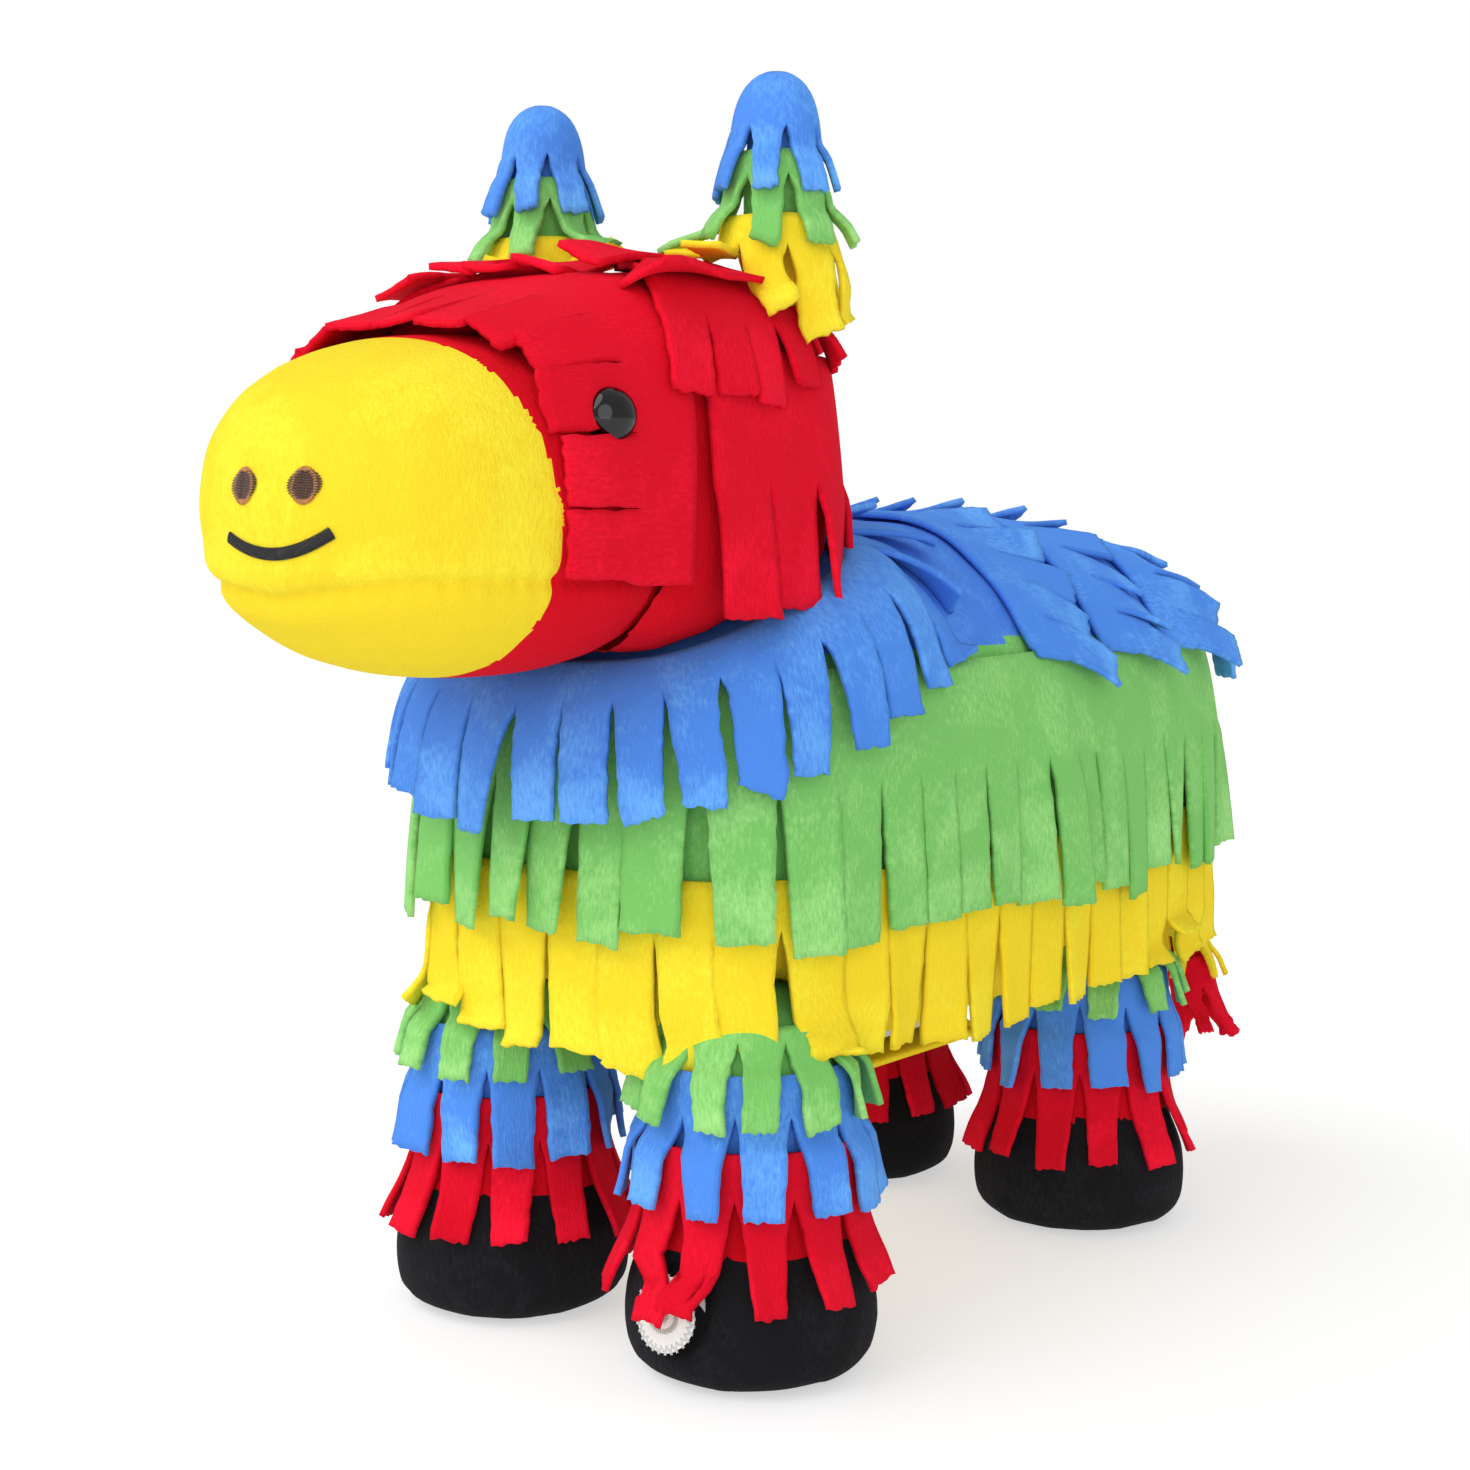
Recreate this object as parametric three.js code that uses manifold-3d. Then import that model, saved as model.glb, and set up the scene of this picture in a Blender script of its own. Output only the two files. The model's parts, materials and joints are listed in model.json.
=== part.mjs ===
// A stuffed donkey pinata: a plush body with rows of cut fabric fringe, a turning head, two floppy
// ears, a hanging tail, and a sound module in the belly worked by a press switch in one front hoof.
// Millimetres, +Z up. The donkey faces -Y and its left side is +X.

import * as THREE from 'three';
import { mergeVertices } from 'three/addons/utils/BufferGeometryUtils.js';
import Module from 'manifold-3d';

const wasm = await Module();
wasm.setup();
const { PI, abs, cos, sign, sin } = Math;
const at = ( x, y, z ) => new THREE.Vector3( x, y, z );
const mix = THREE.MathUtils.lerp;

// ---- Driving dimensions ----

const fabric = 1.6; // thickness of the fringe fabric
const layerGap = 0.6; // air between one layer of fabric and the next
const seam = 0.4; // air between stuffed pieces that are sewn together

const legRadius = 22.8;
const ankleRadius = legRadius + 2.5; // where the leg widens into its hoof
const hoofRadius = 30;
const hoofGap = 14; // between a left and a right hoof
const legSpacing = 2 * hoofRadius + hoofGap; // between the left and the right legs' middles
const flank = 25; // from a leg's middle out to the torso's side

const torsoLength = 233;
const torsoHeight = 129.5;
const torsoBottom = 59;
const torsoTop = torsoBottom + torsoHeight;
const torsoMiddle = ( torsoTop + torsoBottom ) / 2;
const torsoWidth = legSpacing + 2 * flank;
const chestOverhang = 0.1159 * torsoLength; // from the front legs' middle to the chest
const rumpOverhang = 0.2618 * torsoLength; // from the rear legs' middle to the rump
const wheelbase = torsoLength - chestOverhang - rumpOverhang; // between the front and the rear legs
const torsoRear = wheelbase / 2 + rumpOverhang;
const torsoFront = torsoRear - torsoLength;

const legTop = torsoBottom + 29; // the stuffed legs end inside the torso
const tierTips = { green: 58.5, blue: 39.5, red: 21 };
const tierLength = 22;

const neckTilt = 0.4; // radians that the neck's plane leans back
const neckHeight = torsoTop - 16.5; // height of the neck's plane on its own axis
const neckForward = torsoFront + 37.5; // where that axis meets the plane

const headWidth = 92;
const headLength = 88;
const headHeight = 84;
const headForward = neckForward - 18;
const headMiddle = neckHeight + 27.5;
const muzzleWidth = 90;
const muzzleLength = 106;
const muzzleHeight = 73;
const muzzleForward = headForward - 48;
const muzzleMiddle = headMiddle - 8;
const lipHeight = muzzleMiddle - 20.5; // the seam between the muzzle's two halves

const earHeight = 50;
const earRadius = 7.6;
const earSpacing = 70;
const earForward = headForward + 19;
const earRoot = headMiddle + headHeight / 2 - 1; // height of the ear's hinge

const tailLength = 128; // to the tips of its lowest fringe
const tailLean = 0.27; // radians that it hangs over to the left
const tailRadius = 5.5;
const tailHinge = torsoTop - 33.5;

const eyeRadius = 5.5;
const eyeForward = muzzleForward + 3;
const eyeHeight = headMiddle + 11;
const eyeReach = 44; // half the distance between the eyes

const caseWall = 2;
const batteryRadius = 5.25;
const batteryLength = 44.5;
const speakerRadius = 14;
const leadRadius = 1.2;
const leadAir = 0.8; // between the lead and the channel that it runs in
// The sound module's plastic case holds the batteries, and the board and the speaker above them.
const batteryFloor = 1.3; // from the case's inside up to the batteries
const boardLow = caseWall + batteryFloor + 2 * batteryRadius + 1.8;
const speakerHeight = 8; // from the board's underside to the speaker's top
const caseSize = at( 58, 56, boardLow + speakerHeight + 1.4 + caseWall );
const flapSize = caseSize.clone().add( at( 10, 8, 0 ) ).setZ( 2.2 ); // it laps over the pocket's rim

const patchWidth = 17;
const patchHeight = 19;
const patchMiddle = 19.5; // its height on the hoof
const switchTravel = 1.5;

// ---- Solids ----

// The geometry's closed surface, turned so that its faces point out.
function closed( geometry ) {

	const bare = geometry.index ? geometry.toNonIndexed() : geometry.clone();
	for ( const name of Object.keys( bare.attributes ) ) if ( name !== 'position' ) bare.deleteAttribute( name );
	const merged = mergeVertices( bare, 1e-4 );
	const position = merged.attributes.position;
	const index = merged.index.array;
	const [ a, b, c ] = [ at(), at(), at() ];
	const kept = [];
	let volume = 0;
	for ( let i = 0; i < index.length; i += 3 ) {

		const [ p, q, r ] = index.slice( i, i + 3 );
		if ( p === q || q === r || r === p ) continue;
		kept.push( p, q, r );
		a.fromBufferAttribute( position, p );
		b.fromBufferAttribute( position, q );
		c.fromBufferAttribute( position, r );
		volume += a.dot( b.cross( c ) );

	}

	merged.setIndex( volume < 0 ? kept.reverse() : kept );
	return merged;

}

function solid( geometry ) {

	const surface = closed( geometry );
	return new wasm.Manifold( new wasm.Mesh( {
		numProp: 3,
		vertProperties: surface.attributes.position.array,
		triVerts: new Uint32Array( surface.index.array ),
	} ) );

}

function geometryOf( manifold ) {

	const { vertProperties, triVerts } = manifold.getMesh();
	const geometry = new THREE.BufferGeometry();
	geometry.setAttribute( 'position', new THREE.BufferAttribute( new Float32Array( vertProperties ), 3 ) );
	geometry.setIndex( [ ...triVerts ] );
	return geometry;

}

const joined = ( first, ...rest ) =>
	geometryOf( rest.reduce( ( whole, piece ) => whole.add( solid( piece ) ), solid( first ) ) );
const cut = ( first, ...rest ) =>
	geometryOf( rest.reduce( ( whole, piece ) => whole.subtract( solid( piece ) ), solid( first ) ) );
const common = ( first, second ) => geometryOf( solid( first ).intersect( solid( second ) ) );

function mesh( name, geometry, color, roughness = 0.95, metalness = 0 ) {

	const surface = closed( geometry );
	surface.computeVertexNormals();
	const made = new THREE.Mesh( surface, new THREE.MeshStandardMaterial( { color, roughness, metalness } ) );
	made.name = name;
	return made;

}

function group( place, ...children ) {

	const made = new THREE.Group();
	made.position.copy( place );
	made.add( ...children );
	return made;

}

const box = ( low, high ) => new THREE.BoxGeometry( ...high.clone().sub( low ).toArray() )
	.translate( ...low.clone().add( high ).multiplyScalar( 0.5 ).toArray() );

// A solid of revolution about +Z from [ radius, height ] points that start and end on the axis.
const turned = ( points, sides ) => new THREE.LatheGeometry(
	points.map( ( [ r, z ] ) => new THREE.Vector2( r, z ) ), sides ).rotateX( PI / 2 );

// A disc or an oval rod that runs along -Y from `near` to `far`.
const ovalAlongY = ( width, height, near, far, sides = 24 ) =>
	new THREE.CylinderGeometry( 0.5, 0.5, abs( far - near ), sides ).scale( width, 1, height )
		.translate( 0, ( near + far ) / 2, 0 );

// ---- Plump stuffed forms ----

// A rounded box: each level section is a superellipse, and so is its profile.
class PlumpForm {

	constructor( centre, half, plan = 4, profile = 3, straightBelow = false ) {

		Object.assign( this, { centre, half, plan, profile, straightBelow } );

	}

	// 1 on the surface, less inside, and proportional along a ray from the centre.
	value( point ) {

		const d = point.clone().sub( this.centre ).divide( this.half );
		const level = ( abs( d.x ) ** this.plan + abs( d.y ) ** this.plan ) ** ( this.profile / this.plan );
		return ( level + abs( d.z ) ** this.profile ) ** ( 1 / this.profile );

	}

	normal( point ) {

		const step = 0.01;
		const slope = axis => {

			const ahead = point.clone();
			ahead[ axis ] += step;
			const behind = point.clone();
			behind[ axis ] -= step;
			return this.value( ahead ) - this.value( behind );

		};
		const hangs = this.straightBelow && point.z <= this.centre.z;
		return at( slope( 'x' ), slope( 'y' ), hangs ? 0 : slope( 'z' ) ).normalize();

	}

	onto( point ) {

		const value = this.value( point );
		return point.clone().sub( this.centre ).divideScalar( value ).add( this.centre );

	}

	lifted( point, lift ) {

		return point.clone().addScaledVector( this.normal( point ), lift );

	}

	// The surface point at a height, in the direction `turn` seen from above: 0 is -Y, a quarter is +X.
	level( turn, z, lift = 0 ) {

		const height = abs( z - this.centre.z ) / this.half.z;
		const hangs = this.straightBelow && z < this.centre.z;
		const rounding = 1e-12; // so that a pole is one point
		const scale = hangs ? 1 : Math.max( 0, 1 - height ** this.profile - rounding ) ** ( 1 / this.profile );
		const [ dx, dy ] = [ sin( turn ), - cos( turn ) ];
		const outline = ( abs( dx ) / this.half.x ) ** this.plan + ( abs( dy ) / this.half.y ) ** this.plan;
		const reach = scale * outline ** ( - 1 / this.plan );
		const level = hangs ? this.centre.z : z;
		const point = at( this.centre.x + dx * reach, this.centre.y + dy * reach, level );
		return this.lifted( point, lift ).setZ( hangs ? z : this.lifted( point, lift ).z );

	}

	// Turns between two limits that are evenly spaced along the widest section.
	evenTurns( count, from = 0, to = 2 * PI ) {

		const fine = 720;
		const turnAt = i => mix( from, to, i / fine );
		const lengths = [ 0 ];
		for ( let i = 1; i <= fine; i ++ ) {

			const place = this.level( turnAt( i ), this.centre.z );
			const step = place.distanceTo( this.level( turnAt( i - 1 ), this.centre.z ) );
			lengths.push( lengths[ i - 1 ] + step );

		}

		return Array.from( { length: count + 1 }, ( _, k ) => {

			const wanted = lengths[ fine ] * k / count;
			const i = Math.min( fine, Math.max( 1, lengths.findIndex( length => length >= wanted - 1e-9 ) ) );
			const share = ( wanted - lengths[ i - 1 ] ) / ( lengths[ i ] - lengths[ i - 1 ] );
			return turnAt( i - 1 + Math.min( 1, share ) );

		} );

	}

	// The point reached by following the surface from `start` for a distance along a heading.
	walk( start, heading, distance ) {

		const steps = Math.max( 1, Math.ceil( distance / 3 ) );
		let point = this.onto( start );
		for ( let i = 0; i < steps; i ++ ) {

			const along = heading.clone().projectOnPlane( this.normal( point ) ).normalize();
			point = this.onto( point.addScaledVector( along, distance / steps ) );

		}

		return point;

	}

	// The same form, larger all round.
	grown( by ) {

		return new PlumpForm( this.centre, this.half.clone().addScalar( by ), this.plan, this.profile );

	}

	// The whole form as a closed surface.
	geometry( around, rows ) {

		const turns = this.evenTurns( around );
		const point = ( i, k ) => {

			const rise = - PI / 2 + PI * k / rows;
			const height = sign( sin( rise ) ) * abs( sin( rise ) ) ** ( 2 / this.profile );
			return this.level( turns[ i ], this.centre.z + this.half.z * Math.max( - 1, Math.min( 1, height ) ) );

		};
		const faces = [];
		for ( let k = 0; k < rows; k ++ ) for ( let i = 0; i < around; i ++ ) {

			quad( faces, point( i, k + 1 ), point( i, k ), point( i + 1, k ), point( i + 1, k + 1 ) );

		}

		return facesGeometry( faces );

	}

}

const quad = ( faces, a, b, c, d ) => faces.push( a, b, c, a, c, d );

function facesGeometry( points ) {

	return closed( new THREE.BufferGeometry().setFromPoints( points ) );

}

// ---- Fringe ----

// A comb cut from fabric: a whole band along its top and strips that part at slits below it.
// place( across, down, lift ) gives a point of the fabric; across and down run from 0 to 1.
function fringe( { strips, slit, place, ring = false, bends = 1, parted = 0.18 } ) {

	const faces = [];
	const rows = Array.from( { length: bends + 1 }, ( _, k ) => k / bends );
	for ( let i = 0; i < strips; i ++ ) {

		// Corners of row `down` on the left and right edges, on the inner and outer side.
		const corner = ( right, share, lift ) => {

			const inset = parted / 2 * share;
			return place( ( right ? i + 1 - inset : i + inset ) / strips, mix( slit, 1, share ), lift );

		};
		const band = ( right, lift ) => place( ( i + ( right ? 1 : 0 ) ) / strips, 0, lift );
		const wall = ( a, b, c, d ) => quad( faces, a, b, c, d );

		wall( band( false, fabric ), corner( false, 0, fabric ), corner( true, 0, fabric ), band( true, fabric ) );
		wall( band( true, 0 ), corner( true, 0, 0 ), corner( false, 0, 0 ), band( false, 0 ) );
		wall( band( true, fabric ), band( true, 0 ), band( false, 0 ), band( false, fabric ) );
		if ( ! ring && i === 0 )
			wall( band( false, 0 ), corner( false, 0, 0 ), corner( false, 0, fabric ), band( false, fabric ) );
		if ( ! ring && i === strips - 1 )
			wall( band( true, fabric ), corner( true, 0, fabric ), corner( true, 0, 0 ), band( true, 0 ) );
		for ( let k = 0; k < bends; k ++ ) {

			const [ from, to ] = [ rows[ k ], rows[ k + 1 ] ];
			const [ left, right ] = [ false, true ].map( side => [ 0, fabric ].map( lift =>
				[ corner( side, from, lift ), corner( side, to, lift ) ] ) );
			wall( left[ 1 ][ 0 ], left[ 1 ][ 1 ], right[ 1 ][ 1 ], right[ 1 ][ 0 ] );
			wall( right[ 0 ][ 0 ], right[ 0 ][ 1 ], left[ 0 ][ 1 ], left[ 0 ][ 0 ] );
			wall( left[ 0 ][ 0 ], left[ 0 ][ 1 ], left[ 1 ][ 1 ], left[ 1 ][ 0 ] );
			wall( right[ 1 ][ 0 ], right[ 1 ][ 1 ], right[ 0 ][ 1 ], right[ 0 ][ 0 ] );

		}

		wall( corner( false, 1, 0 ), corner( true, 1, 0 ), corner( true, 1, fabric ), corner( false, 1, fabric ) );

	}

	return facesGeometry( faces );

}

// Fringe that follows level sections of a form from `top` to `tip`; lifts are at the top and the tip.
function levelFringe( form, { strips, top, slitTop, tip, lifts, from = 0, to = 2 * PI, bends = 1 } ) {

	const ring = to - from > 2 * PI - 1e-6;
	const turns = form.evenTurns( strips, from, to );
	return fringe( {
		strips, ring, bends, slit: ( top - slitTop ) / ( top - tip ),
		place: ( across, down, lift ) => {

			const i = Math.min( strips - 1, Math.floor( across * strips ) );
			const turn = mix( turns[ i ], turns[ i + 1 ], across * strips - i );
			const bearing = ring && across === 1 ? from : turn;
			return form.level( bearing, mix( top, tip, down ), mix( ...lifts, down ) + lift );

		},
	} );

}

// Fringe that lies on a form: it starts on the curve start( across ) and follows heading( across ).
function lyingFringe( form, { strips, length, slit, lifts, start, heading, ring = false, bends = 2 } ) {

	return fringe( {
		strips, slit, ring, bends,
		place: ( across, down, lift ) => {

			const from = ring && across === 1 ? 0 : across;
			const reached = form.walk( start( from ), heading( from ), length * down );
			return form.lifted( reached, mix( ...lifts, down ) + lift );

		},
	} );

}

// ---- Colours ----

const RED = '#d3101c';
const YELLOW = '#f4da1c';
const BLUE = '#4275d6';
const GREEN = '#5cb457';
const BLACK = '#1d1c1f';
const WHITE = '#eceae6';

// ---- Torso ----

const torsoForm = new PlumpForm(
	at( 0, ( torsoFront + torsoRear ) / 2, torsoMiddle ),
	at( torsoWidth / 2, torsoLength / 2, torsoHeight / 2 ), 4.6, 3 );
const skirtForm = new PlumpForm(
	torsoForm.centre, torsoForm.half.clone().add( at( 0.6, 0.6, 0 ) ), 6, torsoForm.profile, true );

// Everything above the neck's plane, which the head turns on.
function aboveNeck( raised ) {

	const size = 400;
	return new THREE.BoxGeometry( size, size, size ).translate( 0, 0, size / 2 + raised )
		.rotateX( neckTilt ).translate( 0, neckForward, neckHeight );

}

const legPlaces = {
	front_left: at( legSpacing / 2, - wheelbase / 2, 0 ),
	front_right: at( - legSpacing / 2, - wheelbase / 2, 0 ),
	rear_left: at( legSpacing / 2, wheelbase / 2, 0 ),
	rear_right: at( - legSpacing / 2, wheelbase / 2, 0 ),
};

// The stuffed leg with its hoof; `grown` makes it larger all round for the sockets and the patch.
function legGeometry( grown = 0, sides = 20 ) {

	const profile = [
		[ 0, - grown ], [ hoofRadius - 5, - grown ], [ hoofRadius - 1 + grown, 4 ], [ hoofRadius + grown, 12 ],
		[ hoofRadius - 1 + grown, 21 ], [ ankleRadius + grown, 29 ], [ legRadius + grown, 38 ],
		[ legRadius + grown, legTop - 22 ], [ legRadius - 3.5 + grown, legTop - 10 ],
		[ legRadius - 11 + grown, legTop - 2 ], [ 0, legTop + grown ] ];
	return turned( profile, sides );

}

// The lead runs inside the stuffing from the sound case to the switch in the front left hoof.
const caseBottom = torsoBottom + 2.4;
const switchSeat = - ( ankleRadius - 9.3 ); // Y of the switch's back, from the leg's axis
const leadRoute = new THREE.CatmullRomCurve3( [
	at( 14, - caseSize.y / 2 - 0.6, caseBottom + 16 ),
	at( 18, - caseSize.y / 2 - 16, caseBottom + 21 ),
	at( legSpacing / 2 - 8, - wheelbase / 2 + 9, legTop + 7 ),
	at( legSpacing / 2, - wheelbase / 2, legTop - 8 ),
	at( legSpacing / 2, - wheelbase / 2, mix( patchMiddle + 18, legTop - 8, 0.39 ) ),
	at( legSpacing / 2, - wheelbase / 2, patchMiddle + 18 ),
	at( legSpacing / 2, - wheelbase / 2 - 5, patchMiddle + 4 ),
	at( legSpacing / 2, - wheelbase / 2 + switchSeat + 0.5, patchMiddle ),
], false, 'centripetal' );

function leadGeometry( radius, overrun = 0 ) {

	const round = new THREE.EllipseCurve( 0, 0, radius, radius ).getPoints( 7 ).slice( 0, 7 );
	const section = new THREE.Shape( round );
	const [ first, last ] = [ leadRoute.points[ 0 ].clone(), leadRoute.points.at( - 1 ).clone() ];
	first.y += overrun;
	last.y -= overrun;
	const path = new THREE.CatmullRomCurve3(
		[ first, ...leadRoute.points.slice( 1, - 1 ), last ], false, 'centripetal' );
	return new THREE.ExtrudeGeometry( section, { steps: 22, bevelEnabled: false, extrudePath: path } );

}

const pocketAir = 0.5;
const pocket = box(
	at( - caseSize.x / 2 - pocketAir, - caseSize.y / 2 - pocketAir, torsoBottom - 20 ),
	at( caseSize.x / 2 + pocketAir, caseSize.y / 2 + pocketAir, caseBottom + caseSize.z + pocketAir ) );

function torsoCore() {

	const sleeve = tierTips.green + tierLength + 1; // room for a leg's upper tier
	const sleeveRadius = legRadius + fabric + 4.6;
	const sockets = Object.values( legPlaces ).flatMap( place => [
		legGeometry( seam ),
		turned( [ [ 0, 0 ], [ sleeveRadius, 0 ], [ sleeveRadius, sleeve ], [ 0, sleeve ] ], 18 ),
	].map( hollow => hollow.translate( ...place.toArray() ) ) );
	return mesh( 'torso_core',
		cut( torsoForm.geometry( 36, 12 ), aboveNeck( - seam / 2 ), pocket, ...sockets,
			leadGeometry( leadRadius + leadAir, 2 ) ), RED );

}

// The collar starts just below the neck's plane and spreads over the chest, shoulders and back.
function collarFringe() {

	const middle = at( 0, neckForward, neckHeight - 4.4 );
	const up = at( 0, - sin( neckTilt ), cos( neckTilt ) );
	const outward = across => {

		const turn = 2 * PI * across;
		return at( sin( turn ), - cos( turn ) * cos( neckTilt ), - cos( turn ) * sin( neckTilt ) );

	};
	const edge = across => {

		let [ inside, outside ] = [ 0, torsoLength ];
		const along = share => middle.clone().addScaledVector( outward( across ), share );
		for ( let i = 0; i < 40; i ++ ) {

			const half = ( inside + outside ) / 2;
			if ( torsoForm.value( along( half ) ) < 1 ) inside = half; else outside = half;

		}

		return along( inside );

	};
	return mesh( 'collar_fringe', lyingFringe( torsoForm, {
		strips: 26, length: 0.247 * torsoHeight, slit: 0.16, lifts: [ 1.6, 7.6 ], ring: true,
		start: edge, heading: across => outward( across ).addScaledVector( up, - 0.7 ),
	} ), BLUE );

}

// Rows of strips lie over the back, each row over the top of the next, and point to the rump.
const backRowSpacing = 33;
const backRowLength = 42;
const backRowEdge = 75 * PI / 180; // how far round the back a row reaches

function backRow( number, y, strips ) {

	const start = across => {

		const turn = mix( - backRowEdge, backRowEdge, across );
		const direction = at( sin( turn ) * torsoForm.half.x, 0, cos( turn ) * torsoForm.half.z );
		const reach = share => torsoForm.centre.clone().addScaledVector( direction, share ).setY( y );
		let [ inside, outside ] = [ 0, 1.2 ];
		for ( let i = 0; i < 40; i ++ ) {

			const half = ( inside + outside ) / 2;
			if ( torsoForm.value( reach( half ) ) < 1 ) inside = half; else outside = half;

		}

		return reach( inside );

	};
	const fan = across => at( 0.4 * sin( mix( - backRowEdge, backRowEdge, across ) ), 1, 0 );
	return mesh( `back_row_${ number }`, lyingFringe( torsoForm, {
		strips, length: backRowLength, slit: 0.28, lifts: [ 0.9, 0.9 + 2 * ( fabric + layerGap ) + 1.2 ],
		start, heading: fan,
	} ), BLUE );

}

const skirtLayer = fabric + layerGap;
const stripWidth = 14.35;
// A boxy plan's girth is a little under twice the sum of its sides.
const skirtGirth = 1.93 * ( torsoWidth + torsoLength );
const skirtStrips = 2 * Math.round( skirtGirth / stripWidth / 2 );
const greenSkirt = () => mesh( 'side_fringe_green', levelFringe( skirtForm, {
	strips: skirtStrips, top: torsoMiddle + 1.3, slitTop: torsoMiddle - 1.7, tip: torsoMiddle - 23.7,
	lifts: [ 1.2, skirtLayer + 3.2 ] } ), GREEN );
const yellowSkirt = () => mesh( 'side_fringe_yellow', levelFringe( skirtForm, {
	strips: skirtStrips, top: torsoMiddle - 16.7, slitTop: torsoMiddle - 25.7, tip: torsoBottom + 11,
	lifts: [ 1.2, 4.1 ] } ), YELLOW );

// ---- Legs ----

// A ring of strips round a limb. `profile` gives [ radius, height ] at its top, where the slits
// start, and at its tips. A top narrower than a fabric's fold is a cap, whose fabric faces up.
function limbFringe( strips, [ top, slitTop, tip ], parted = 0.2 ) {

	const slit = ( top[ 1 ] - slitTop[ 1 ] ) / ( top[ 1 ] - tip[ 1 ] );
	return fringe( {
		strips, slit, parted, ring: true,
		place: ( across, down, lift ) => {

			const above = down <= slit;
			const [ from, to ] = above ? [ top, slitTop ] : [ slitTop, tip ];
			const share = above ? down / slit : ( down - slit ) / ( 1 - slit );
			const turn = across === 1 ? 0 : 2 * PI * across;
			const radius = mix( from[ 0 ], to[ 0 ], share );
			const capTop = down === 0 && radius < 4;
			const [ out, up ] = capTop ? [ radius, lift ] : [ radius + lift, 0 ];
			return at( sin( turn ) * out, - cos( turn ) * out, mix( from[ 1 ], to[ 1 ], share ) + up );

		},
	} );

}

// How far out the corners of a ring of flat strips must be for its flats to clear a radius.
const clearOf = ( radius, strips ) => radius / cos( PI / strips );

// Each tier of a leg's fringe hangs over the top of the tier below it, and the lowest over the hoof.
function legTier( leg, tier ) {

	const strips = 12;
	const tip = tierTips[ tier ];
	const band = clearOf( legRadius, strips ) + 0.7;
	const flare = tier === 'red' ? clearOf( hoofRadius, strips ) + 1 : band + fabric + layerGap + 0.5;
	const profile = [ [ band, tip + tierLength ], [ band + 0.3, tip + 0.64 * tierLength ], [ flare, tip ] ];
	return mesh( `${ leg }_leg_fringe_${ tier }`, limbFringe( strips, profile, 0.18 ),
		{ green: GREEN, blue: BLUE, red: RED }[ tier ] );

}

const pressHole = ovalAlongY( patchWidth + 1, patchHeight + 1, switchSeat, - hoofRadius - 8 )
	.translate( 0, 0, patchMiddle );

function leg( name, place ) {

	const whole = legGeometry();
	const route = leadGeometry( leadRadius + leadAir, 2 ).translate( - place.x, - place.y, 0 );
	const core = name === 'front_left' ? cut( whole, pressHole, route ) : whole;
	return group( place,
		mesh( `${ name }_leg`, core, BLACK ),
		...Object.keys( tierTips ).map( tier => legTier( name, tier ) ) );

}

// The switch sits in the front of the hoof: a base, a sprung cap, and the patch that is pressed.
function pressSwitch() {

	const capBack = switchSeat - 4.2 - switchTravel - 0.2;
	const base = joined(
		ovalAlongY( patchWidth - 1, patchHeight - 1, switchSeat - 0.3, switchSeat - 4 ),
		ovalAlongY( 6, 6, switchSeat - 3, switchSeat - 4.2, 12 ) );
	const cap = ovalAlongY( patchWidth - 4, patchHeight - 7, capBack, capBack - 2.3 );
	const patch = common(
		cut( legGeometry( 1, 40 ), legGeometry( - 0.8, 40 ) ),
		ovalAlongY( patchWidth, patchHeight, switchSeat, - hoofRadius - 8 ).translate( 0, 0, patchMiddle ) );
	return group( legPlaces.front_left,
		mesh( 'press_switch_base', base.translate( 0, 0, patchMiddle ), '#3a3d42', 0.5 ),
		mesh( 'press_switch_cap', cap.translate( 0, 0, patchMiddle ), '#d8d8d6', 0.45 ),
		mesh( 'press_patch', patch, WHITE, 0.5 ) );

}

// ---- Sound module ----

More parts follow.
